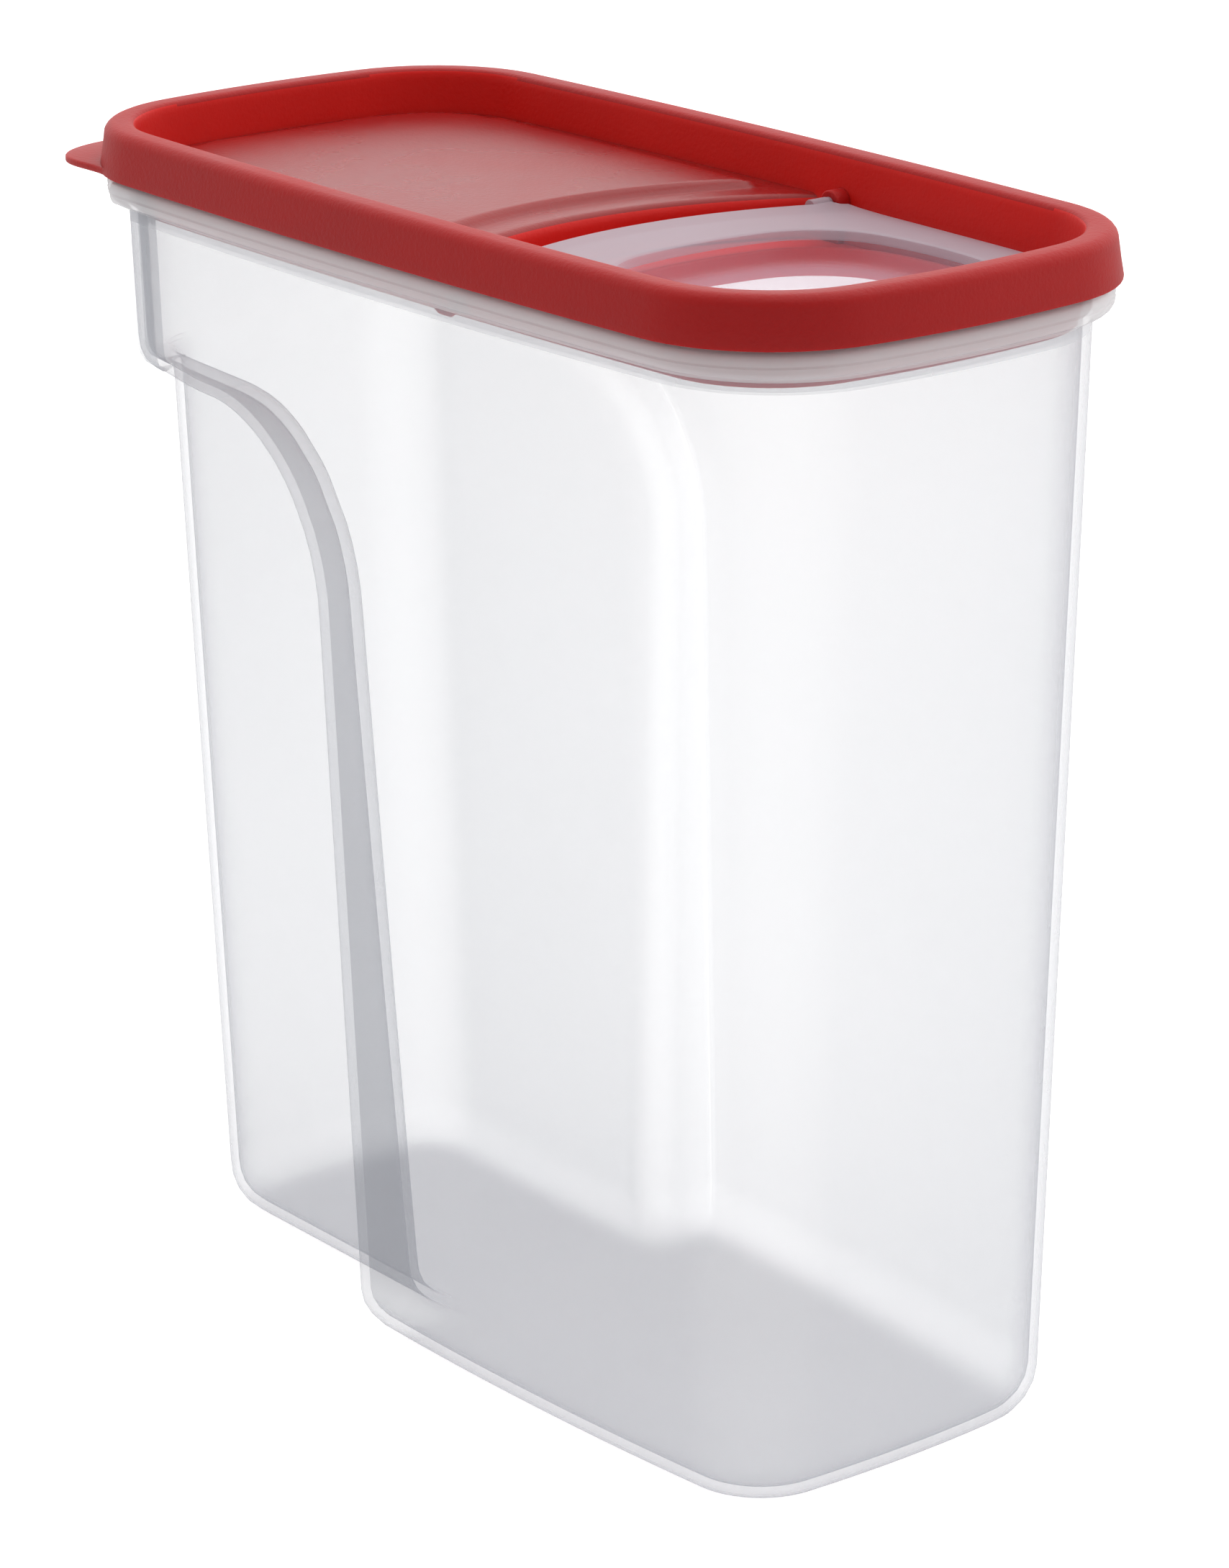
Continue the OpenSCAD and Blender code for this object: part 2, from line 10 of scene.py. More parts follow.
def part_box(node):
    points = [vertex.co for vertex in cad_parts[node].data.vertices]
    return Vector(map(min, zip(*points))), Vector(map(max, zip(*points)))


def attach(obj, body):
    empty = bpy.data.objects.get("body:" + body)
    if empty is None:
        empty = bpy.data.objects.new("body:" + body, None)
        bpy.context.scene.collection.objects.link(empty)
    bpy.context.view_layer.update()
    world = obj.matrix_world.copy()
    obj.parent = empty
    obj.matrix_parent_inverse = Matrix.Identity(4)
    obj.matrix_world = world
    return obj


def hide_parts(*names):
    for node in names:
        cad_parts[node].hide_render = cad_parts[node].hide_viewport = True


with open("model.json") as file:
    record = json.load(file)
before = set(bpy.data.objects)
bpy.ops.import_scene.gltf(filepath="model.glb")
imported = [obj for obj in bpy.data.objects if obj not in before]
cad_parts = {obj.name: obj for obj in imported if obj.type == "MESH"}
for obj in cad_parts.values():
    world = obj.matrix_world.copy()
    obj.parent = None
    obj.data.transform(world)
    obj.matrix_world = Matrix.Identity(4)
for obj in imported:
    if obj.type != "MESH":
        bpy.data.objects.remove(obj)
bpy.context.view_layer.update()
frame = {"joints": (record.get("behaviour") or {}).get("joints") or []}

MM = 0.001

# ---- Sizes, in millimetres, as the container is built ----

# The sizes that decide where the pieces meet are read from the solids; an inset is measured from
# the lid's outline inwards.

# Lid: outline, skirt and rolled rim
lid_low, lid_high = (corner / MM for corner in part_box("lid"))
LID_HALF_L = lid_high.x
LID_HALF_W = lid_high.y
LID_TOP = lid_high.z
LID_H = 9.74
SHOULDER = LID_TOP - LID_H
LID_CORNER_R = 31.7
LID_SIDE_BOW = 1.67
LID_END_BOW = 1.24
SKIRT_LEAN = 1.1
RIM_ROUND = 2.4
RIM_W = 7.5
LID_WALL = 1.5

# Lid: the well, its ledge and the plug that stands in the body's rim
WELL_LEAN = 0.9
WELL_INSET = RIM_W + WELL_LEAN
WELL_BOTTOM = lid_low.z
WELL_FLOOR_T = 1
WELL_FLOOR = WELL_BOTTOM + WELL_FLOOR_T
LEDGE_DROP = 1.1
LEDGE = SHOULDER - LEDGE_DROP
LEDGE_W = 1.5
PLUG_OUT = 6.25
PLUG_LOW = 8.45
PLUG_LEAD = 2.5
COLLAR_H = 4.5
COLLAR_TOP = WELL_FLOOR + COLLAR_H
COLLAR_GAP = 0.8

# Lid: the rear deck, its raised panel and the step down to the well
HINGE = next(j for j in frame["joints"] if j["name"] == "cover_flip")["pos_m"]
HINGE_X = HINGE[0] / MM
HINGE_Z = HINGE[2] / MM
STEP_TO_HINGE = 20.5
STEP_X = HINGE_X - STEP_TO_HINGE
STEP_R = 85
STEP_ROLL = 2.6
STEP_LEAN = 0.3
STEP_FOOT_R = 1.2
STEP_LAP = 4
DECK_RISE = 0.5
DECK_TOP = SHOULDER + DECK_RISE
STEP_MIDDLE = DECK_TOP - 4.5
DECK_COLUMNS = 72
DECK_ROWS = 84
FLOOR_STEPS = 24
PANEL_H = 1.4
PANEL_MARGIN = 4.2
PANEL_TO_STEP = 9
PANEL_EDGE = 2.4

# Lid: the pull tab, with its angles in degrees
TAB_REACH = 10
TAB_DIR = 212
TAB_HALF_ANGLE = 40
TAB_DROOP = 0.8
TAB_SINK = 0.2
TAB_COLUMNS = 36

# Flip cover: plate, dish and finger tab
cover_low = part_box("flip_cover")[0] / MM
COVER_T = 1.8
COVER_LIFT = 0.2
COVER_BOTTOM = LEDGE + COVER_LIFT
COVER_TOP = COVER_BOTTOM + COVER_T
COVER_GAP = 0.7
COVER_INSET = WELL_INSET + COVER_GAP
COVER_TAIL = HINGE_X - cover_low.x
COVER_REAR_R = 95
COVER_ROLL = 6
COVER_EDGE_T = 0.4
COVER_REAR_STEP = 2
TAIL_STEPS = 14
NOTCH_GAP = 0.6
NOTCH_ROLL = 2.4
NOTCH_FADE = 12
DISH_TO_HINGE = 45.3
DISH_X = HINGE_X + DISH_TO_HINGE
DISH_HALF_L = 33.2
DISH_HALF_W = 33
DISH_CORNER_R = 20
DISH_BOW = 1
DISH_DEPTH = 7.2
DISH_BOTTOM = COVER_TOP - DISH_DEPTH
DISH_FLOOR_T = 1.2
DISH_WALL = 1.5
DISH_DRAFT = 0.9
FINGER_T = 1.6
FINGER_W = 26
FINGER_H = 5.8
FINGER_BACK = 2.4
FINGER_FOOT = 0.2
FINGER_LEAN = 8
FINGER_CORNER_R = 2.2

# Hinge: the cover's pins and knuckles, and the lid's sockets round the pins
PIN_R = 1.5
PIN_L = 4.3
PIN_BARE_L = 2
PIN_SIDE_GAP = 0.8
KNUCKLE_R = PIN_R + 0.1
LUG_WALL = 1.3
LUG_R = PIN_R + LUG_WALL
LUG_SINK = 1.2
EAR_W = 5

# Body
body_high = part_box("container_body")[1] / MM
WALL = 1.8
FLOOR_T = 2.2
BASE_HALF_L = 100.5
BASE_HALF_W = 47.2
BASE_CORNER_R = 21.3
BASE_SIDE_BOW = 4
BASE_SHIFT = 1.25
FOOT_R = 10.3
TOP_INSET = 4.5
TOP_CORNER_MORE = 1.5
TOP_SIDE_BOW = 2.2
BODY_END_BOW = 1.1
BEAD_INSET = 1.4
BEAD_DROP = 0.8
BEAD_TOP = SHOULDER - BEAD_DROP
BEAD_H = 4.8
BEAD_LOW = BEAD_TOP - BEAD_H
BEAD_GROOVE = BEAD_TOP - 2.3
RIM_OUT = 3.8
RIM_IN = 5.8
RIM_TOP = body_high.z
# Heights where the body's material changes: the bead's above the first, and between them the band of painted
# shade in front of the lid's plug
UNDER_BEAD = BEAD_LOW - 1.3
SHADE_BAND_LOW = WELL_BOTTOM - 0.6

# Body: the grip recess in each long side, whose edge leans forwards as it goes down
GRIP_X_LOW = -19
GRIP_X_HIGH = -25
GRIP_ARCH_R = 38
GRIP_TOP = 191
GRIP_Y_STEP = (31, 40.3)
GRIP_Y_REAR = (31.5, 33.6)
GRIP_CORNER_R = 15
GRIP_HALF_W = 20
GRIP_FOOT_R = 8
GRIP_EDGE_R = 1.6
GRIP_LEDGE_R = 6
GRIP_INNER_R = 5


# ---- Small helpers ----

def lerp(a, b, t):
    return a + (b - a) * t


def ease(t):
    t = min(1, max(0, t))
    return t * t * (3 - 2 * t)


def piece(name, bm, body, node, materials, sharp=40):
    """Makes an object of a bmesh drawn in millimetres, which rides on a body of the frame.

    Edges past the angle sharp, in degrees, look sharp.
    """
    bmesh.ops.scale(bm, vec=(MM, MM, MM), verts=bm.verts)
    mesh = bpy.data.meshes.new(name)
    bm.to_mesh(mesh)
    bm.free()
    for face in mesh.polygons:
        face.use_smooth = True
    mesh.set_sharp_from_angle(angle=radians(sharp))
    for m in materials:
        mesh.materials.append(m)
    obj = bpy.data.objects.new(name, mesh)
    bpy.context.scene.collection.objects.link(obj)
    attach(obj, body)
    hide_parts(node)
    return obj


# ---- Outlines ----

class Outline:
    """A rounded rectangle whose four sides are bowed outwards, with its middle at mid_x.

    Side and end are circles of radius rs and re, and the corner's circle touches both from inside,
    at the angles side_t and end_t of its own centre.
    """

    ENDS, CORNERS, SIDES = 6, 14, 16

    def __init__(self, half_l, half_w, corner_r, side_bow, end_bow, mid_x=0.0):
        self.sizes = (half_l, half_w, corner_r, side_bow, end_bow, mid_x)
        self.r = corner_r
        self.mid_x = mid_x
        # The radii follow from the bows over the half chords h and k
        h, k = half_l - corner_r, half_w - corner_r
        self.rs = (h * h + side_bow * side_bow) / (2 * side_bow)
        self.re = (k * k + end_bow * end_bow) / (2 * end_bow)
        self.side_c = Vector((0, half_w - self.rs))
        self.end_c = Vector((half_l - self.re, 0))
        # The corner's centre lies where circles of radius a and b round the other two centres meet
        v = self.end_c - self.side_c
        d = v.length
        u = v / d
        a, b = self.rs - corner_r, self.re - corner_r
        t = (a * a - b * b + d * d) / (2 * d)
        s = sqrt(a * a - t * t)
        self.corner = self.side_c + t * u + s * Vector((u.y, -u.x))
        q = self.corner - self.side_c
        self.side_t = atan2(q.y, q.x)
        q = self.corner - self.end_c
        self.end_t = atan2(q.y, q.x)

    def inset(self, d):
        a, b, r, s, e, x = self.sizes
        return Outline(a - d, b - d, r - d, s, e, x)

    def end(self, t):
        return self.end_c + self.re * Vector((cos(t), sin(t)))

    def round(self, t):
        return self.corner + self.r * Vector((cos(t), sin(t)))

    def side_x(self):
        return self.round(self.side_t).x

    def side_y(self, x):
        return self.side_c.y + sqrt(self.rs * self.rs - x * x)

    def end_x(self, y):
        return self.end_c.x + sqrt(self.re * self.re - y * y)

    def quarter(self):
        """Points from the middle of the end round the corner to the middle of the side."""
        out = [self.end(self.end_t * i / self.ENDS) for i in range(self.ENDS)]
        out += [self.round(lerp(self.end_t, self.side_t, i / self.CORNERS)) for i in range(self.CORNERS)]
        for i in range(self.SIDES + 1):
            x = self.side_x() * (1 - i / self.SIDES)
            out.append(Vector((x, self.side_y(x))))
        return out

    def ring(self):
        """The whole outline, anticlockwise from the front."""
        q = self.quarter()
        half = q + [Vector((-p.x, p.y)) for p in q[-2::-1]]
        whole = half + [Vector((p.x, -p.y)) for p in half[-2:0:-1]]
        return [Vector((p.x + self.mid_x, p.y)) for p in whole]


def in_outline(outline, p):
    """Whether p lies within the outline, seen from above."""
    x, y = abs(p.x - outline.mid_x), abs(p.y)
    corner = outline.corner
    if x < outline.side_x():
        return y < outline.side_y(x)
    if y < corner.y:
        return x < outline.end_x(y)
    return hypot(x - corner.x, y - corner.y) < outline.r


def step_line_x(y, x, r):
    """A curve across the lid, bulging to the rear, with its apex at x."""
    return x + r - sqrt(r * r - y * y)


# ---- Loops and rows of a bmesh ----

def start_loop(bm, points):
    verts = [bm.verts.new(p) for p in points]
    for a, b in zip(verts, verts[1:] + verts[:1]):
        bm.edges.new((a, b))
    return verts


def loop_edges(bm, loop):
    return [bm.edges.get((a, b)) for a, b in zip(loop, loop[1:] + loop[:1])]


def start_row(bm, points):
    verts = [bm.verts.new(p) for p in points]
    for a, b in zip(verts, verts[1:]):
        bm.edges.new((a, b))
    return verts


def row_edges(bm, row):
    return [bm.edges.get((a, b)) for a, b in zip(row, row[1:])]


def carry_on(bm, verts, edges, points):
    """Extrudes the edges between verts, puts the new vertices on the points, and returns them."""
    made = bmesh.ops.extrude_edge_only(bm, edges=edges)["geom"]
    new = {v for v in made if isinstance(v, BMVert)}
    out = []
    for vert, place in zip(verts, points):
        twin = next(e.other_vert(vert) for e in vert.link_edges if e.other_vert(vert) in new)
        twin.co = place
        out.append(twin)
    return out


def carry(bm, loop, points):
    """Extrudes a closed loop and puts the new one on the given points."""
    return carry_on(bm, loop, loop_edges(bm, loop), points)


def carry_row(bm, row, points):
    """Extrudes an open row and puts the new one on the given points."""
    return carry_on(bm, row, row_edges(bm, row), points)


def skin(bm, rings):
    """Carries a loop over every ring, and returns the first loop and the last."""
    first = loop = start_loop(bm, rings[0])
    for ring in rings[1:]:
        loop = carry(bm, loop, ring)
    return first, loop


def rings_around(outline, profile):
    """One ring round the outline for each inset and height of the profile."""
    return [[Vector((p.x, p.y, z)) for p in outline.inset(d).ring()] for d, z in profile]


def join_ends(bm, a, b):
    bmesh.ops.bridge_loops(bm, edges=loop_edges(bm, a) + loop_edges(bm, b))


def finish_normals(bm):
    bmesh.ops.recalc_face_normals(bm, faces=bm.faces)


LID_OUTLINE = Outline(LID_HALF_L, LID_HALF_W, LID_CORNER_R, LID_SIDE_BOW, LID_END_BOW)
DISH_OUTLINE = Outline(DISH_HALF_L, DISH_HALF_W, DISH_CORNER_R, DISH_BOW, DISH_BOW, DISH_X)
COLLAR_OUTLINE = DISH_OUTLINE.inset(-COLLAR_GAP)

# Where the parts of the hinge end, from the well's wall inwards
WALL_Y = LID_OUTLINE.side_y(HINGE_X) - WELL_INSET
PIN_TIP_Y = WALL_Y - PIN_SIDE_GAP
LUG_Y = PIN_TIP_Y - (PIN_L - PIN_BARE_L)
EAR_Y = LUG_Y - EAR_W


# ---- Materials ----

def node_material(name):
    """A new material, its node tree and its Principled shader."""
    m = bpy.data.materials.new(name)
    m.use_nodes = True
    tree = m.node_tree
    tree.nodes.clear()
    out = tree.nodes.new("ShaderNodeOutputMaterial")
    shader = tree.nodes.new("ShaderNodeBsdfPrincipled")
    tree.links.new(shader.outputs["BSDF"], out.inputs["Surface"])
    return m, tree, shader


def group_tree(name, inputs, outputs):
    """A node group with the named sockets, and its input and output nodes."""
    tree = bpy.data.node_groups.new(name, "ShaderNodeTree")
    for label, kind, value in inputs:
        s = tree.interface.new_socket(name=label, in_out="INPUT", socket_type=kind)
        if value is not None:
            s.default_value = value
    for label, kind in outputs:
        tree.interface.new_socket(name=label, in_out="OUTPUT", socket_type=kind)
    return tree, tree.nodes.new("NodeGroupInput"), tree.nodes.new("NodeGroupOutput")


def add(tree, kind, values=(), **settings):
    """Adds a node, with the values of its sockets and its own settings."""
    n = tree.nodes.new(kind)
    for key, value in settings.items():
        setattr(n, key, value)
    for key, value in dict(values).items():
        n.inputs[key].default_value = value
    return n


def make_grain_group():
    """Fine moulded grain: a height for bump, and a mask that varies over the surface."""
    tree, inp, out = group_tree(
        "moulded_grain",
        [("Scale", "NodeSocketFloat", 1800.0), ("Cloud Scale", "NodeSocketFloat", 30.0)],
        [("Height", "NodeSocketFloat"), ("Cloud", "NodeSocketFloat")])
    where = add(tree, "ShaderNodeTexCoord")
    fine = add(tree, "ShaderNodeTexNoise", {"Detail": 3.0, "Roughness": 0.6})
    cloud = add(tree, "ShaderNodeTexNoise", {"Detail": 4.0, "Roughness": 0.55})
    link = tree.links.new
    link(where.outputs["Object"], fine.inputs["Vector"])
    link(where.outputs["Object"], cloud.inputs["Vector"])
    link(inp.outputs["Scale"], fine.inputs["Scale"])
    link(inp.outputs["Cloud Scale"], cloud.inputs["Scale"])
    link(fine.outputs["Fac"], out.inputs["Height"])
    link(cloud.outputs["Fac"], out.inputs["Cloud"])
    return tree


GRAIN = make_grain_group()


def add_grain(tree, scale, cloud_scale):
    n = add(tree, "ShaderNodeGroup", node_tree=GRAIN)
    n.inputs["Scale"].default_value = scale
    n.inputs["Cloud Scale"].default_value = cloud_scale
    return n


def ramp(tree, low, high, value_socket, lo_at=0.3, hi_at=0.7):
    """Maps a value from lo_at..hi_at to low..high, and returns the socket."""
    n = add(tree, "ShaderNodeMapRange",
            {"From Min": lo_at, "From Max": hi_at, "To Min": low, "To Max": high})
    tree.links.new(value_socket, n.inputs["Value"])
    return n.outputs["Result"]


def mix_colour(tree, factor_socket, a, b):
    n = add(tree, "ShaderNodeMix", data_type="RGBA")
    n.inputs["A"].default_value = a
    n.inputs["B"].default_value = b
    tree.links.new(factor_socket, n.inputs["Factor"])
    return n.outputs["Result"]


def bump(tree, height_socket, shader, strength, distance):
    n = add(tree, "ShaderNodeBump", {"Strength": strength, "Distance": distance})
    tree.links.new(height_socket, n.inputs["Height"])
    tree.links.new(n.outputs["Normal"], shader.inputs["Normal"])


def red_plastic(name, colours, roughness, gloss, bump_strength):
    """Red plastic that is slightly translucent: light from behind makes the thin walls glow."""
    m, tree, shader = node_material(name)
    grain = add_grain(tree, scale=1100, cloud_scale=22)
    colour = mix_colour(tree, ramp(tree, 0, 1, grain.outputs["Cloud"]), *colours)
    tree.links.new(colour, shader.inputs["Base Color"])
    tree.links.new(ramp(tree, *roughness, grain.outputs["Cloud"]), shader.inputs["Roughness"])
    shader.inputs["IOR"].default_value = 1.5
    shader.inputs["Specular IOR Level"].default_value = gloss
    shader.inputs["Subsurface Weight"].default_value = 0.6
    shader.inputs["Subsurface Radius"].default_value = (1.0, 0.12, 0.08)
    shader.inputs["Subsurface Scale"].default_value = 0.0025
    bump(tree, grain.outputs["Height"], shader, bump_strength, distance=0.0002)
    return m


def red_outside():
    colours = (0.41, 0.008, 0.008, 1), (0.46, 0.011, 0.010, 1)
    return red_plastic("red_lid_plastic", colours, roughness=(0.42, 0.52), gloss=0.24, bump_strength=0.6)


def red_deck_painted_shade():
    """The level deck, which shines more than the skirt. Its red is darker than the skirt's: painted shade
    that offsets the stronger light falling on the top.
    """
    colours = (0.31, 0.007, 0.007, 1), (0.36, 0.011, 0.010, 1)
    return red_plastic("red_deck_painted_shade_plastic", colours, roughness=(0.24, 0.32), gloss=0.28, bump_strength=0.35)


def red_well_painted_light():
    """The thin walls inside the rim, painted a much brighter red than the outside: painted light that stands
    in for the glow of light coming through them.
    """
    colours = (0.66, 0.012, 0.008, 1), (0.72, 0.016, 0.011, 1)
    return red_plastic("red_well_painted_light_plastic", colours, roughness=(0.42, 0.52), gloss=0.2, bump_strength=0.4)


# Haze scatters light onwards, so it dims the light that passes by less than it veils the view
SHADOW_HAZE = 0.4
# A low blend keeps the haze thin but for the silhouette
HAZE_BLEND = 0.15


def milky_plastic(name, colours, haze, roughness, gloss, bump_strength):
    """Clear plastic whose haze goes from the first value, seen square on, to the second, seen edge on."""
    m, tree, shader = node_material(name)
    grain = add_grain(tree, scale=900, cloud_scale=14)
    colour = mix_colour(tree, ramp(tree, 0, 1, grain.outputs["Cloud"]), *colours)
    tree.links.new(colour, shader.inputs["Base Color"])
    tree.links.new(ramp(tree, *roughness, grain.outputs["Cloud"]), shader.inputs["Roughness"])
    silhouette = add(tree, "ShaderNodeLayerWeight", {"Blend": HAZE_BLEND})
    rays = add(tree, "ShaderNodeLightPath")
    alpha = add(tree, "ShaderNodeMath", operation="MULTIPLY")
    tree.links.new(ramp(tree, *haze, silhouette.outputs["Facing"], 0, 1), alpha.inputs[0])
    tree.links.new(ramp(tree, 1, SHADOW_HAZE, rays.outputs["Is Shadow Ray"], 0, 1), alpha.inputs[1])
    tree.links.new(alpha.outputs["Value"], shader.inputs["Alpha"])
    shader.inputs["IOR"].default_value = 1.5
    shader.inputs["Specular IOR Level"].default_value = gloss
    bump(tree, grain.outputs["Height"], shader, bump_strength, distance=0.0001)
    return m


def clear_plastic():
    colours = (0.57, 0.59, 0.65, 1), (0.63, 0.65, 0.71, 1)
    return milky_plastic("clear_body_plastic", colours, haze=(0.07, 0.82),
                         roughness=(0.26, 0.34), gloss=0.25, bump_strength=0.05)


def thick_rim_painted_light():
    """The bead and the rim, where the plastic is thicker and its haze denser. Its colour is much lighter
    than the wall's: painted light that offsets the lid's shade over the bead, with a faint pink tint painted
    for the red lid's reflection.
    """
    colours = (0.90, 0.87, 0.89, 1), (0.95, 0.92, 0.94, 1)
    return milky_plastic("thick_rim_painted_light", colours, haze=(0.5, 0.95),
                         roughness=(0.06, 0.11), gloss=0.5, bump_strength=0.05)


def painted_shade_plastic():
    """The wall in front of the lid's plug, greyish and not red: painted shade, a denser grey haze that
    stands in for the shaded plug seen through the wall.
    """
    colours = (0.60, 0.61, 0.66, 1), (0.66, 0.67, 0.72, 1)
    return milky_plastic("painted_shade_wall_plastic", colours, haze=(0.3, 0.88),
                         roughness=(0.1, 0.18), gloss=0.3, bump_strength=0.05)


def frosted_plastic():
    # The pink tint is painted light: the red well below seen through the clear, frosted cover.
    colours = (0.47, 0.385, 0.44, 1), (0.53, 0.44, 0.50, 1)
    return milky_plastic("frosted_cover_plastic", colours, haze=(0.55, 1.0),
                         roughness=(0.38, 0.46), gloss=0.5, bump_strength=0.3)


def clear_dish_plastic():
    # The pink tint is painted light: the red collar and well seen through the clear dish.
    colours = (0.80, 0.62, 0.73, 1), (0.86, 0.68, 0.79, 1)
    return milky_plastic("clear_dish_plastic", colours, haze=(0.1, 0.68),
                         roughness=(0.03, 0.05), gloss=0.4, bump_strength=0.02)


RED = red_outside()
RED_DECK_PAINTED_SHADE = red_deck_painted_shade()
RED_WELL_PAINTED_LIGHT = red_well_painted_light()
CLEAR = clear_plastic()
THICK_RIM_PAINTED_LIGHT = thick_rim_painted_light()
PAINTED_SHADE_WALL = painted_shade_plastic()
FROSTED = frosted_plastic()
DISH_CLEAR = clear_dish_plastic()


# ---- Container body ----

ARCH_X = GRIP_X_HIGH - GRIP_ARCH_R
ARCH_Z = GRIP_TOP - GRIP_ARCH_R
# ARCH_TURN degrees up the arch the columns along its edge turn into rings that run over the roof,
# and there the nested curves stand TURN_STEP degrees apart
ARCH_TURN = 45
TURN_STEP = 1.0
FAR = 8.0  # offset of the outermost nested curves from the recess's edge
MAX_ROUND = 0.45  # share of the recess's depth that one rounding may take
LEAST_EDGE_R = 0.3
LEAST_LEDGE_R = 0.5
ROOF_RING_RISE = 0.9
ROOF_DEPTH = 12
LOW_LEVELS = (20, 32, 46, 60, 75, 90, 105, 120, 134, 145)
ARCH_RINGS = 5
HIGH_LEVELS = (206, 213, 219, SHADE_BAND_LOW, UNDER_BEAD)

# Columns of a half ring of the body, from the front to the rear
FRONT_END_COLS, FRONT_CORNER_COLS, SIDE_COLS = 5, 12, 12
ARC_COLS, BACK_COLS, REAR_CORNER_COLS, REAR_END_COLS = 9, 9, 10, 5
BEHIND_COLS = ARC_COLS + BACK_COLS


def body_outline(z, d):
    """The body's outline at height z, moved in by d."""
    t = z / SHOULDER
    return Outline(lerp(BASE_HALF_L, LID_HALF_L - TOP_INSET, t) - d,
                   lerp(BASE_HALF_W, LID_HALF_W - TOP_INSET, t) - d,
                   lerp(BASE_CORNER_R, LID_CORNER_R - TOP_INSET + TOP_CORNER_MORE, t) - d,
                   lerp(BASE_SIDE_BOW, TOP_SIDE_BOW, t), BODY_END_BOW, lerp(BASE_SHIFT, 0, t))


def foot_inset(h, r):
    """How far a foot of radius r draws the wall in at height h."""
    return 0 if h >= r else r - sqrt(r * r - (r - h) * (r - h))


def front_points(o):
    """The front end and corner of an outline, from the middle of the end to the start of the side."""
    points = [o.end(o.end_t * i / FRONT_END_COLS) for i in range(FRONT_END_COLS)]
    points += [o.round(lerp(o.end_t, o.side_t, i / FRONT_CORNER_COLS)) for i in range(FRONT_CORNER_COLS)]
    return [Vector((o.mid_x + p.x, p.y)) for p in points]


def rear_points(o):
    """The rear corner and end of an outline, from the end of the side to the middle of the end."""
    points = [o.round(lerp(o.side_t, o.end_t, i / REAR_CORNER_COLS)) for i in range(REAR_CORNER_COLS)]
    points += [o.end(o.end_t * (1 - i / REAR_END_COLS)) for i in range(REAR_END_COLS + 1)]
    return [Vector((o.mid_x - p.x, p.y)) for p in points]


def level(points, z):
    return [Vector((p.x, p.y, z)) for p in points]


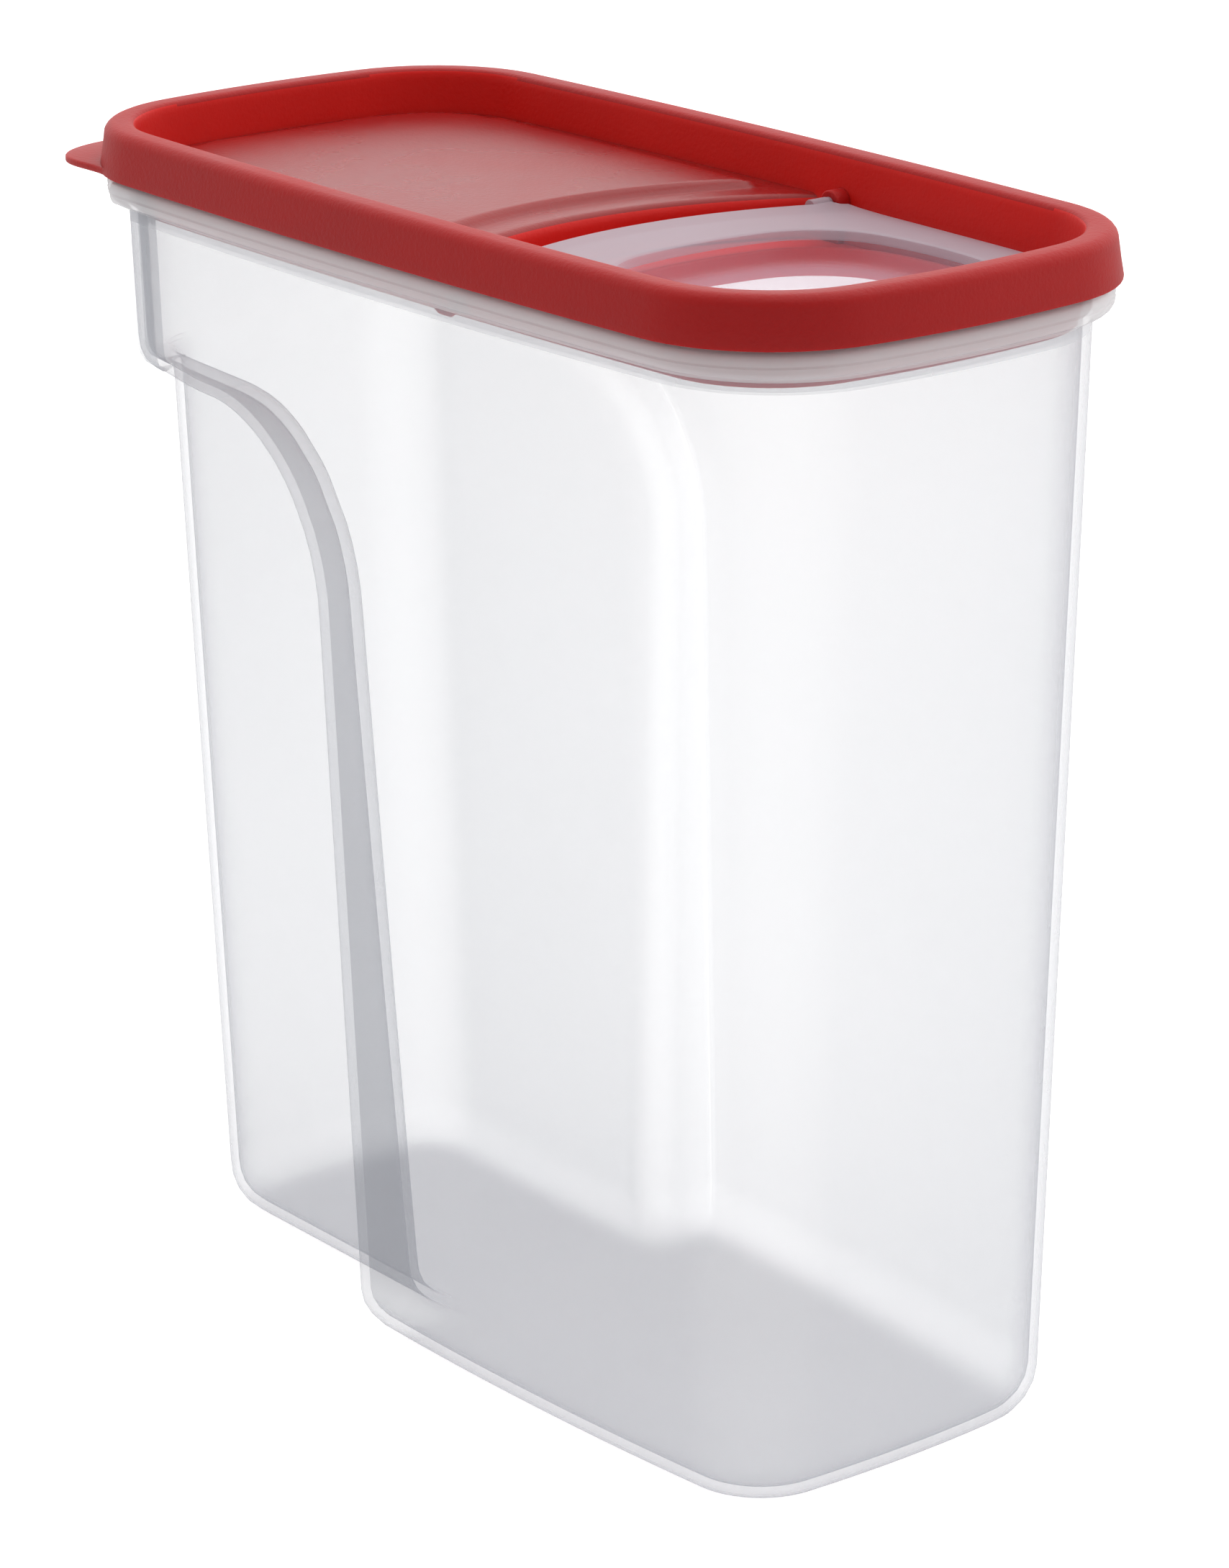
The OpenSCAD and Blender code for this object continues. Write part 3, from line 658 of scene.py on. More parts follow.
class BodySkin:
    """One skin of the body, moved in by d: d is 0 outside, and the wall inside.

    Each half ring runs from the front to the rear. Its columns are those of the front, then the nested
    curves that follow the edge of the grip recess, then those behind the edge.
    """

    FILLET = (0, 22.5, 45, 67.5, 90)
    CURVES = 2 * len(FILLET) + 2
    TURN_SPREAD = (CURVES - 1) * TURN_STEP

    def __init__(self, d, bottom):
        self.d = d
        self.bottom = bottom
        self.arch_r = GRIP_ARCH_R + d
        self.edge_r = max(GRIP_EDGE_R - d, LEAST_EDGE_R)
        self.ledge_r = max(GRIP_LEDGE_R - d, LEAST_LEDGE_R)
        self.inner_r = GRIP_INNER_R + d
        self.roof_end = self.rear_corner(body_outline(GRIP_TOP, d), GRIP_TOP, 0)[0]

    def curve(self, a, depth, edge_r):
        """Offset from the recess's edge and depth below the outer wall of nested curve a."""
        n = len(self.FILLET)
        inner = min(self.inner_r, MAX_ROUND * depth)
        edge = min(edge_r, MAX_ROUND * depth)
        if a == 0:
            return -FAR, depth
        if a <= n:
            t = radians(self.FILLET[a - 1])
            return -inner + inner * sin(t), depth - inner + inner * cos(t)
        if a <= 2 * n:
            t = radians(self.FILLET[a - n - 1])
            return edge - edge * cos(t), edge - edge * sin(t)
        return FAR, 0

    def wall_y(self, x, z, outline):
        """The recess's wall, as y over x and z."""
        t = z / GRIP_TOP
        y0 = lerp(*GRIP_Y_REAR, t) - self.d
        y1 = lerp(*GRIP_Y_STEP, t) - self.d
        x0, x1 = -outline.end_x(GRIP_HALF_W) + GRIP_CORNER_R, GRIP_X_HIGH
        return lerp(y0, y1, (x - x0) / (x1 - x0))

    def plain(self, outline, x):
        """The wall without the recess, as y over x."""
        return outline.side_y(x - outline.mid_x)

    def place(self, x, z, depth, outline):
        """A point of the long side at x and z, sunk below the outer wall by depth."""
        return Vector((x, self.plain(outline, x) - depth, z))

    def edge_x(self, z, foot):
        """The front edge of the recess at height z, below the arch."""
        return lerp(GRIP_X_LOW, GRIP_X_HIGH, z / ARCH_Z) + self.d + foot

    def front_half(self, outline, x_end, z_plain, z_end):
        """The front end, corner and side, up to the place where the nested curves begin."""
        out = level(front_points(outline), z_plain)
        x0 = outline.side_x() + outline.mid_x
        for i in range(SIDE_COLS):
            t = i / SIDE_COLS
            x = lerp(x0, x_end, t)
            out.append(Vector((x, self.plain(outline, x), lerp(z_plain, z_end, ease(t)))))
        return out

    def rear_corner(self, outline, z, foot):
        """The x where the recess's rear corner starts, and that corner and the rear end at height z."""
        m = outline.mid_x
        r = GRIP_CORNER_R - self.d - foot
        x_guess = -outline.end_x(GRIP_HALF_W) + m + GRIP_CORNER_R
        yw = self.wall_y(x_guess, z, outline) - foot
        yc = yw - r
        c = Vector((m - outline.end_x(yc) + r, yc))
        out = []
        for i in range(REAR_CORNER_COLS):
            t = radians(lerp(90, 180, i / REAR_CORNER_COLS))
            out.append(Vector((c.x + r * cos(t), c.y + r * sin(t), z)))
        for i in range(REAR_END_COLS + 1):
            y = yc * (1 - i / REAR_END_COLS)
            out.append(Vector((m - outline.end_x(y), y, z)))
        return c.x, out

    def deep(self, x, z, outline, foot):
        """How far the recess's wall lies below the outer wall, where its foot draws it in by foot."""
        return self.plain(outline, x) - (self.wall_y(x, z, outline) - foot)

    def low_ring(self, h):
        """A level ring through the recesses, at h above the skin's own bottom."""
        z = self.bottom + h
        foot = foot_inset(h, FOOT_R - self.d)
        grip_foot = foot_inset(h, GRIP_FOOT_R - self.d)
        outline = body_outline(z, self.d + foot)
        edge = self.edge_x(z, foot)
        half = self.front_half(outline, edge + FAR, z, z)
        for a in reversed(range(self.CURVES)):
            depth = self.deep(edge, z, outline, grip_foot)
            off, sunk = self.curve(a, depth, self.edge_r)
            if a == 0:
                sunk = self.deep(edge + off, z, outline, grip_foot)
            half.append(self.place(edge + off, z, sunk, outline))
        cx, corner = self.rear_corner(outline, z, grip_foot)
        for i in range(1, BEHIND_COLS):
            x = lerp(edge - FAR, cx, i / BEHIND_COLS)
            half.append(self.place(x, z, self.deep(x, z, outline, grip_foot), outline))
        return half + corner

    def arch_at(self, t, off):
        """The x and z of the arch's edge at t degrees, moved outwards by off."""
        t = radians(t)
        return ARCH_X + (self.arch_r + off) * cos(t), ARCH_Z + (self.arch_r + off) * sin(t)

    def arch_ring(self, t):
        """A ring whose nested curves stand at angle t of the arch, below its turn."""
        z_plain = self.arch_at(t, -FAR)[1]
        x, z = self.arch_at(t, FAR)
        outline = body_outline(z_plain, self.d)
        half = self.front_half(outline, x, z_plain, z)
        outermost = {0: -FAR, self.CURVES - 1: FAR}
        for a in reversed(range(self.CURVES)):
            x, z = self.arch_at(t, outermost.get(a, 0))
            depth = self.deep(x, z, body_outline(z, self.d), 0)
            off, sunk = self.curve(a, depth, self.edge_r)
            x, z = self.arch_at(t, off)
            half.append(self.place(x, z, sunk, body_outline(z, self.d)))
        x0, z0 = half[-1].x, half[-1].z
        cx, corner = self.rear_corner(outline, z_plain, 0)
        for i in range(1, BEHIND_COLS):
            x = lerp(x0, cx, i / BEHIND_COLS)
            z = lerp(z0, z_plain, i / BEHIND_COLS)
            o = body_outline(z, self.d)
            half.append(self.place(x, z, self.deep(x, z, o, 0), o))
        return half + corner

    def roof_edge(self, i):
        """Place, normal and edge radius of the roof's edge at column i behind the nested curves."""
        if i <= ARC_COLS:
            t = lerp(ARCH_TURN + self.TURN_SPREAD, 90, i / ARC_COLS)
            x, z = self.arch_at(t, 0)
            return x, z, (cos(radians(t)), sin(radians(t))), self.edge_r
        f = (i - ARC_COLS) / BACK_COLS
        x = lerp(ARCH_X, self.roof_end, f)
        return x, self.arch_r + ARCH_Z, (0, 1), lerp(self.edge_r, self.ledge_r, ease(f))

    def roof_ring(self, b):
        """The ring of nested curve b, which runs from the front, up the arch and along the roof."""
        start = ARCH_TURN - TURN_STEP * (self.CURVES - 1 - b)
        z_plain = self.arch_at(start, -FAR)[1] + ROOF_RING_RISE * b
        x, z = self.arch_at(start, FAR)
        half = self.front_half(body_outline(z_plain, self.d), x, z_plain, z)
        for a in reversed(range(self.CURVES)):
            k = max(a, b)
            t = ARCH_TURN + TURN_STEP * (b - a)
            x, z = self.arch_at(t, 0)
            depth = self.deep(x, z, body_outline(z, self.d), 0)
            off, sunk = self.curve(k, depth, self.edge_r)
            x, z = self.arch_at(t, off)
            if k == 0:
                sunk = self.deep(x, z, body_outline(z, self.d), 0)
            half.append(self.place(x, z, sunk, body_outline(z, self.d)))
        for i in range(1, BEHIND_COLS):
            x, z, (nx, nz), edge_r = self.roof_edge(i)
            depth = self.deep(x, z, body_outline(z, self.d), 0)
            off, sunk = self.curve(b, depth, edge_r)
            x, z = x + off * nx, z + off * nz
            if b == 0:
                sunk = self.deep(x, z, body_outline(z, self.d), 0)
            half.append(self.place(x, z, sunk, body_outline(z, self.d)))
        top = self.arch_r + ARCH_Z
        edge_r = self.ledge_r
        z = top + self.curve(b, ROOF_DEPTH, edge_r)[0]
        outline = body_outline(z, self.d)
        corner = self.rear_corner(outline, z, 0)[1]
        for p, q in zip(level(rear_points(outline), z), corner):
            v = q - p
            gap = hypot(v.x, v.y)
            if gap < 0.01:
                half.append(Vector((p.x, p.y, z)))
                continue
            off, sunk = self.curve(b, gap, min(edge_r, gap))
            share = 1 if b == 0 else min(1, sunk / gap)
            half.append(Vector((p.x + v.x * share, p.y + v.y * share, top + off)))
        return half

    def high_ring(self, z):
        """A level ring above the recesses, whose columns stand over those of the last roof ring."""
        outline = body_outline(z, self.d)
        half = self.front_half(outline, self.arch_at(ARCH_TURN, FAR)[0], z, z)
        for i in range(self.CURVES):
            x = self.arch_at(ARCH_TURN + TURN_STEP * i, FAR)[0]
            half.append(self.place(x, z, 0, outline))
        for i in range(1, BEHIND_COLS):
            x, _, (nx, _), _ = self.roof_edge(i)
            half.append(self.place(x + FAR * nx, z, 0, outline))
        return half + level(rear_points(outline), z)

    def rings(self):
        """All half rings, from the foot up to the bead."""
        r = FOOT_R - self.d
        low = [self.low_ring(r * (1 - cos(radians(t)))) for t in range(0, 91, 15)]
        low += [self.low_ring(z - self.bottom) for z in LOW_LEVELS]
        turn_start = ARCH_TURN - self.TURN_SPREAD
        arch = [self.arch_ring(lerp(0, turn_start, i / ARCH_RINGS)) for i in range(ARCH_RINGS)]
        roof = [self.roof_ring(b) for b in range(self.CURVES)]
        high = [self.high_ring(z) for z in HIGH_LEVELS]
        return low + arch + roof + high


def whole_ring(half):
    """A half ring with its mirror image."""
    lower = [Vector((p.x, -p.y, p.z)) for p in half[-2:0:-1]]
    return [p.copy() for p in half] + lower


# Each row is an inset and a height: up the bead's outside, over its top and over the rim
BEAD_PROFILE = [
    (TOP_INSET - 0.5, BEAD_LOW - 0.5),
    (BEAD_INSET + 1.7, BEAD_LOW),
    (BEAD_INSET + 1.0, BEAD_LOW + 0.25),
    (BEAD_INSET + 0.5, BEAD_LOW + 0.7),
    (BEAD_INSET + 0.15, BEAD_LOW + 1.4),
    (BEAD_INSET, BEAD_GROOVE - 0.4),
    (BEAD_INSET + 0.16, BEAD_GROOVE - 0.1),
    (BEAD_INSET + 0.16, BEAD_GROOVE + 0.1),
    (BEAD_INSET, BEAD_GROOVE + 0.5),
    (BEAD_INSET + 0.1, BEAD_TOP - 1.0),
    (BEAD_INSET + 0.35, BEAD_TOP - 0.5),
    (BEAD_INSET + 0.8, BEAD_TOP - 0.12),
    (BEAD_INSET + 1.4, BEAD_TOP),
]
RIM_PROFILE = [
    (RIM_OUT - 0.4, BEAD_TOP + 0.1),
    (RIM_OUT, BEAD_TOP + 0.7),
    (RIM_OUT, RIM_TOP - 0.7),
    (RIM_OUT + 0.25, RIM_TOP - 0.2),
    (RIM_OUT + 0.7, RIM_TOP),
    (RIM_IN - 0.7, RIM_TOP),
    (RIM_IN - 0.25, RIM_TOP - 0.2),
    (RIM_IN, RIM_TOP - 0.7),
    (RIM_IN, BEAD_LOW),
]


def rim_half(o, z, ref):
    """A half ring on the lid's outline whose columns stand over those of ref, a half ring of the body."""
    front, rear = level(front_points(o), z), level(rear_points(o), z)
    side_start, side_end = len(front), len(ref) - len(rear)
    x0, x1 = ref[side_start].x, ref[side_end].x
    side = []
    for p in ref[side_start:side_end]:
        x = lerp(o.side_x(), -o.side_x(), (p.x - x0) / (x1 - x0))
        side.append(Vector((x, o.side_y(x), z)))
    return front + side + rear


def container_body():
    """The outer skin, the bead and rim, and the inner skin, carried over each other as one shell."""
    bm = bmesh.new()
    outside = BodySkin(0, 0).rings()
    inside = BodySkin(WALL, FLOOR_T).rings()
    rim = [rim_half(LID_OUTLINE.inset(d), z, outside[-1]) for d, z in BEAD_PROFILE + RIM_PROFILE]
    first, last = skin(bm, [whole_ring(half) for half in outside + rim + inside[::-1]])
    bmesh.ops.contextual_create(bm, geom=loop_edges(bm, first))
    bmesh.ops.contextual_create(bm, geom=loop_edges(bm, last))
    finish_normals(bm)
    # Above the bead's height the lighter rim plastic, which is painted light; below it, down past the plug's
    # bottom, the grey band of painted shade; the clear wall elsewhere.
    for f in bm.faces:
        z = f.calc_center_median().z
        f.material_index = 1 if z > UNDER_BEAD else 2 if z > SHADE_BAND_LOW else 0
    return piece("container_shell", bm, "container", "container_body",
                 [CLEAR, THICK_RIM_PAINTED_LIGHT, PAINTED_SHADE_WALL], 35)


# ---- Lid ----

def lid_shell():
    """Skirt, rolled rim and plug wall, as one ring."""
    bm = bmesh.new()
    low, top = SHOULDER, LID_TOP
    ceiling = top - LID_WALL
    # Insets and heights: up the skirt, over the rim, down the well's wall and the plug, and back under
    profile = [(0.35, low), (0.08, low + 0.12), (0, low + 0.4), (SKIRT_LEAN * 0.5, low + 3.6)]
    for t in range(0, 91, 15):
        profile.append((SKIRT_LEAN + RIM_ROUND - RIM_ROUND * cos(radians(t)),
                        top - RIM_ROUND + RIM_ROUND * sin(radians(t))))
    profile += [(RIM_W - 1.4, top - 0.02), (RIM_W - 0.8, top - 0.15), (RIM_W - 0.35, top - 0.5),
                (RIM_W - 0.1, top - 1.0), (RIM_W + 0.1, top - 2.2), (WELL_INSET - 0.15, LEDGE + 2),
                (WELL_INSET, LEDGE + 0.3), (WELL_INSET + 0.2, LEDGE)]
    profile += [(WELL_INSET + LEDGE_W - 0.2, LEDGE), (WELL_INSET + LEDGE_W, LEDGE - 0.25),
                (WELL_INSET + LEDGE_W + 0.2, WELL_BOTTOM + 0.2), (PLUG_LOW, WELL_BOTTOM)]
    profile += [(PLUG_LOW - 0.2, WELL_BOTTOM + 0.2), (PLUG_OUT + 0.4, SHOULDER - PLUG_LEAD),
                (PLUG_OUT, ceiling - 0.3), (PLUG_OUT - 0.4, ceiling)]
    profile += [(LID_WALL + SKIRT_LEAN + 0.5, ceiling), (LID_WALL + SKIRT_LEAN, ceiling - 0.6),
                (LID_WALL, low + 0.3), (LID_WALL - 0.35, low)]
    first, last = skin(bm, rings_around(LID_OUTLINE, profile))
    join_ends(bm, last, first)
    finish_normals(bm)
    # Faces inside the well take the brighter red of painted light; the rest take the plain red.
    well = LID_OUTLINE.inset(RIM_W - 0.2)
    for f in bm.faces:
        c = f.calc_center_median()
        f.material_index = 1 if in_outline(well, c) and c.z < top - 0.7 else 0
    return piece("lid_rim", bm, "lid", "lid", [RED, RED_WELL_PAINTED_LIGHT], 50)


DECK_OUTLINE = LID_OUTLINE.inset((PLUG_OUT + WELL_INSET) / 2 + 0.4)
WELL_OUTLINE = LID_OUTLINE.inset(WELL_INSET)


def deck_half_width(x):
    """Half width of the deck's sheet at x, which ends inside the plug wall."""
    o = DECK_OUTLINE
    x = abs(x)
    if x <= o.side_x():
        return o.side_y(x)
    past = x - o.corner.x
    return o.corner.y + sqrt(o.r ** 2 - past ** 2) if past < o.r else o.corner.y


def panel_height(x, y):
    """Height over the deck of the raised panel, with soft edges."""
    o = WELL_OUTLINE
    from_side = o.side_y(0) - abs(y) - PANEL_MARGIN
    from_end = o.end_x(0) + x - PANEL_MARGIN
    from_step = step_line_x(y, STEP_X - PANEL_TO_STEP, STEP_R) - x
    inside = min(from_side, from_end, from_step)
    past_x, past_y = -x - o.corner.x, abs(y) - o.corner.y
    if past_x > 0 and past_y > 0:
        inside = min(inside, o.r - PANEL_MARGIN - hypot(past_x, past_y))
    return PANEL_H * ease(inside / PANEL_EDGE)


def curved_row(across, x, z):
    """A row along the step's curve, with its apex at x; across goes from -1 to 1."""
    row = []
    for v in across:
        y = v * deck_half_width(x)
        # The half width changes along the curve, so y is brought closer in a few rounds
        for _ in range(3):
            y = v * deck_half_width(step_line_x(y, x, STEP_R))
        row.append(Vector((step_line_x(y, x, STEP_R), y, z)))
    return row


def deck_and_step():
    """The rear deck with its raised panel, rolled over its front edge down into the well."""
    bm = bmesh.new()
    across = [2 * i / DECK_COLUMNS - 1 for i in range(DECK_COLUMNS + 1)]
    roll_x = STEP_X - STEP_ROLL
    corner_x = -DECK_OUTLINE.end_x(0) + 1.5
    rows = []
    for k in range(DECK_ROWS + 1):
        t = k / DECK_ROWS
        row = []
        for v in across:
            y = v * deck_half_width(lerp(corner_x, roll_x, t))
            rear = -DECK_OUTLINE.end_x(y) if abs(y) < DECK_OUTLINE.corner.y else corner_x
            x = lerp(rear, step_line_x(y, roll_x, STEP_R), t)
            y = v * deck_half_width(x)
            row.append(Vector((x, y, DECK_TOP + panel_height(x, y))))
        rows.append(row)
    for t in (15, 30, 45, 60, 75, 90):
        a = radians(t)
        rows.append(curved_row(across, roll_x + STEP_ROLL * sin(a),
                               DECK_TOP - STEP_ROLL + STEP_ROLL * cos(a)))
    foot_x, foot_z = STEP_X + STEP_LEAN, WELL_FLOOR + STEP_FOOT_R
    for z in (STEP_MIDDLE, foot_z):
        rows.append(curved_row(across, foot_x, z))
    for t in (22.5, 45, 67.5, 90):
        a = radians(t)
        rows.append(curved_row(across, foot_x + STEP_FOOT_R * (1 - cos(a)),
                               WELL_FLOOR + STEP_FOOT_R * (1 - sin(a))))
    rows.append(curved_row(across, STEP_X + STEP_LAP, WELL_FLOOR))
    row = start_row(bm, rows[0])
    for points in rows[1:]:
        row = carry_row(bm, row, points)
    finish_normals(bm)
    if sum(f.normal.z for f in bm.faces) < 0:
        bmesh.ops.reverse_faces(bm, faces=bm.faces)
    bmesh.ops.solidify(bm, geom=bm.faces[:], thickness=LID_WALL)
    # Top faces take the deck's darker red, which is painted shade; the step's faces below take the well's
    # brighter red, which is painted light.
    for f in bm.faces:
        f.material_index = 1 if f.calc_center_median().z < DECK_TOP - 0.8 else 0
    return piece("lid_deck", bm, "lid", "lid", [RED_DECK_PAINTED_SHADE, RED_WELL_PAINTED_LIGHT], 50)


def well_floor():
    """The flat floor of the well, with the pouring opening cut out."""
    bm = bmesh.new()
    cut_x = STEP_X + STEP_LAP / 2
    edge = LID_OUTLINE.inset((PLUG_LOW + WELL_INSET + LEDGE_W) / 2)
    outer = [p for p in edge.ring() if p.x > step_line_x(p.y, cut_x, STEP_R)]
    outer.sort(key=lambda p: atan2(p.y, p.x))
    y_end = outer[-1].y
    for i in range(1, FLOOR_STEPS):
        y = lerp(y_end, -y_end, i / FLOOR_STEPS)
        outer.append(Vector((step_line_x(y, cut_x, STEP_R), y)))
    hole = COLLAR_OUTLINE.inset(-LID_WALL / 2).ring()
    a = start_loop(bm, [Vector((p.x, p.y, WELL_FLOOR)) for p in outer])
    b = start_loop(bm, [Vector((p.x, p.y, WELL_FLOOR)) for p in hole])
    bmesh.ops.triangle_fill(bm, edges=loop_edges(bm, a) + loop_edges(bm, b), use_beauty=True)
    for f in bm.faces:
        f.normal_update()
        if f.normal.z < 0:
            f.normal_flip()
    bmesh.ops.solidify(bm, geom=bm.faces[:], thickness=WELL_FLOOR_T)
    return piece("well_floor", bm, "lid", "lid", [RED_WELL_PAINTED_LIGHT], 40)


def spout_collar():
    """The upright wall round the pouring opening, which the cover's dish drops into."""
    bm = bmesh.new()
    outside = COLLAR_OUTLINE.inset(-LID_WALL)
    profile = [(0, WELL_BOTTOM + 0.3), (0, COLLAR_TOP - 0.5), (0.15, COLLAR_TOP - 0.15),
               (0.5, COLLAR_TOP), (LID_WALL - 0.5, COLLAR_TOP), (LID_WALL - 0.15, COLLAR_TOP - 0.15),
               (LID_WALL, COLLAR_TOP - 0.5), (LID_WALL + 0.2, WELL_BOTTOM + 0.2),
               (LID_WALL, WELL_BOTTOM), (0.3, WELL_BOTTOM)]
    first, last = skin(bm, rings_around(outside, profile))
    join_ends(bm, last, first)
    finish_normals(bm)
    return piece("spout_collar", bm, "lid", "lid", [RED_WELL_PAINTED_LIGHT], 50)


def hinge_bar(bm, side, y0, y1, radius, segments, edge, edge_steps):
    """A bar on the hinge's axis from y0 to y1, with the edges of its two ends rounded."""
    place = Matrix.Translation((HINGE_X, side * (y0 + y1) / 2, HINGE_Z))
    turn = Matrix.Rotation(radians(90), 4, "X")
    bar = bmesh.ops.create_cone(bm, cap_ends=True, segments=segments, radius1=radius, radius2=radius,
                                depth=y1 - y0, matrix=place @ turn)["verts"]
    around = {f for v in bar for f in v.link_faces}
    caps = [f for f in bm.faces if f in around and len(f.verts) > 4]
    bmesh.ops.bevel(bm, geom=[e for f in caps for e in f.edges], affect="EDGES", offset=edge,
                    segments=edge_steps, profile=0.5, material=-1)


def hinge_sockets():
    """The two sockets that hold the cover's pins, grown from the walls of the well."""
    bm = bmesh.new()
    start, stop = LUG_Y, WALL_Y + LUG_SINK
    low = WELL_FLOOR - 0.3
    for side in (-1, 1):
        hinge_bar(bm, side, start, stop, LUG_R, segments=40, edge=0.4, edge_steps=3)
        place = Matrix.Translation((HINGE_X, side * (start + stop) / 2, (low + HINGE_Z) / 2))
        size = Matrix.Diagonal((2 * LUG_R, stop - start, HINGE_Z - low, 1))
        block = bmesh.ops.create_cube(bm, size=1, matrix=place @ size)["verts"]
        upright = [e for e in bm.edges if e.verts[0] in block and e.verts[1] in block
                   and abs(e.verts[0].co.z - e.verts[1].co.z) > 1]
        bmesh.ops.bevel(bm, geom=upright, affect="EDGES", offset=0.5, segments=2, profile=0.5, material=-1)
    return piece("hinge_sockets", bm, "lid", "lid", [RED], 40)


def pull_tab():
    """The tab at a rear corner that a thumb lifts: it fades out along the corner at both ends."""
    bm = bmesh.new()
    corner = -LID_OUTLINE.corner
    root = LID_CORNER_R - LID_WALL / 2
    outer, inner = [], []
    for i in range(TAB_COLUMNS + 1):
        t = 2 * i / TAB_COLUMNS - 1
        a = radians(TAB_DIR + t * TAB_HALF_ANGLE)
        share = cos(radians(90 * t)) ** 2
        r = LID_CORNER_R + TAB_REACH * share - TAB_SINK
        z = SHOULDER - TAB_DROOP * share * share
        outer.append(Vector((corner.x + r * cos(a), corner.y + r * sin(a), z)))
        inner.append(Vector((corner.x + root * cos(a), corner.y + root * sin(a), SHOULDER)))
    carry_row(bm, start_row(bm, outer), inner)
    made = bmesh.ops.extrude_face_region(bm, geom=bm.faces[:])["geom"]
    bmesh.ops.translate(bm, vec=(0, 0, LID_WALL), verts=[v for v in made if isinstance(v, BMVert)])
    finish_normals(bm)
    rim = [e for e in bm.edges if len(e.link_faces) == 2 and e.calc_face_angle() > radians(60)]
    bmesh.ops.bevel(bm, geom=rim, affect="EDGES", offset=0.45, segments=3, profile=0.5, material=-1)
    return piece("pull_tab", bm, "lid", "lid", [RED], 50)


# ---- Flip cover ----

def cover_ring(s):
    """A ring of the plate's top: s goes from 0 at its edge to 1 where the rolled edge ends.

    It leaves room for the sockets at the rear corners, where the roll is narrower.
    """
    o = LID_OUTLINE.inset(COVER_INSET)
    deeper = LID_OUTLINE.inset(COVER_INSET + 1)
    notch_x = HINGE_X + LUG_R + NOTCH_GAP
    notch_y = LUG_Y - NOTCH_GAP
    step = s * COVER_REAR_STEP
    roll_z = lerp(COVER_BOTTOM + COVER_EDGE_T, COVER_TOP, sqrt(1 - (1 - s) ** 2))
    half = []
    for p, q in zip(o.quarter(), deeper.quarter()):
        if p.x > notch_x + 2:
            width = lerp(NOTCH_ROLL, COVER_ROLL, ease((p.x - notch_x) / NOTCH_FADE))
            p = p + (q - p) * width * s
            half.append(Vector((p.x, p.y, roll_z)))
    half.append(Vector((notch_x + step, o.side_y(notch_x) - NOTCH_ROLL * s, roll_z)))
    half.append(Vector((notch_x + step, notch_y - step, COVER_TOP)))
    half.append(Vector((HINGE_X + step, notch_y - step, COVER_TOP)))
    for i in range(TAIL_STEPS + 1):
        y = EAR_Y * (1 - i / TAIL_STEPS)
        x = step_line_x(y, HINGE_X - COVER_TAIL, COVER_REAR_R)
        half.append(Vector((x + step, y, COVER_TOP)))
    return half + [Vector((p.x, -p.y, p.z)) for p in half[-2:0:-1]]


def flip_cover():
    """The plate with its rolled edge, and the dish that hangs in its hole."""
    bm = bmesh.new()
    bottom, w, d = DISH_BOTTOM, DISH_WALL, DISH_DRAFT
    low = [Vector((p.x, p.y, COVER_BOTTOM)) for p in cover_ring(0)]
    # Insets and heights from the plate's top over the dish's lip and down its inside to its floor
    inner = [(-1.2, COVER_TOP), (-0.5, COVER_TOP + 0.05), (0.1, COVER_TOP + 0.02), (0.7, COVER_TOP - 0.15),
             (1.15, COVER_TOP - 0.5), (w, COVER_TOP - 1.1),
             (d + w, bottom + 2.9), (d + w + 0.25, bottom + 2.2), (d + w + 0.8, bottom + 1.6),
             (d + w + 1.7, bottom + 1.25), (d + w + 3, bottom + DISH_FLOOR_T)]
    # The same under its floor and up its outside to the plate's underside
    outer = [(d + 3, bottom), (d + 1.4, bottom), (d + 0.7, bottom + 0.2), (d + 0.25, bottom + 0.6),
             (d, bottom + 1.3), (0.15, COVER_BOTTOM - 1.2), (-0.1, COVER_BOTTOM - 0.4), (-0.6, COVER_BOTTOM)]
    lip, inner_end = skin(bm, rings_around(DISH_OUTLINE, inner))
    outer_end, hole_low = skin(bm, rings_around(DISH_OUTLINE, outer))
    for end in (inner_end, outer_end):
        bmesh.ops.contextual_create(bm, geom=loop_edges(bm, end))
    edge_top, roll_end = skin(bm, [cover_ring(s) for s in (0, 0.06, 0.2, 0.4, 0.7, 1)])
    bmesh.ops.triangle_fill(bm, edges=loop_edges(bm, roll_end) + loop_edges(bm, lip), use_beauty=True)
    edge_low = start_loop(bm, low)
    bmesh.ops.triangle_fill(bm, edges=loop_edges(bm, edge_low) + loop_edges(bm, hole_low), use_beauty=True)
    join_ends(bm, edge_top, edge_low)
    finish_normals(bm)
    inside = DISH_OUTLINE.inset(0.9)
    for f in bm.faces:
        c = f.calc_center_median()
        in_dish = in_outline(inside, c) and c.z < COVER_TOP - 0.3
        f.material_index = 1 if in_dish or c.z < COVER_BOTTOM - 0.5 else 0
    rim = loop_edges(bm, edge_low)
    bmesh.ops.bevel(bm, geom=rim, affect="EDGES", offset=0.1, segments=2, profile=0.5, material=-1)
    return piece("flip_plate", bm, "cover", "flip_cover", [FROSTED, DISH_CLEAR], 40)


def hinge_pins():
    """At each side a pin, and the knuckle on the plate that it grows from."""
    bm = bmesh.new()
    for side in (-1, 1):
        hinge_bar(bm, side, PIN_TIP_Y - PIN_L, PIN_TIP_Y, PIN_R, segments=32, edge=0.25, edge_steps=2)
        hinge_bar(bm, side, EAR_Y, LUG_Y - NOTCH_GAP, KNUCKLE_R, segments=32, edge=0.25, edge_steps=2)
    return piece("hinge_pins", bm, "cover", "flip_cover", [FROSTED], 40)


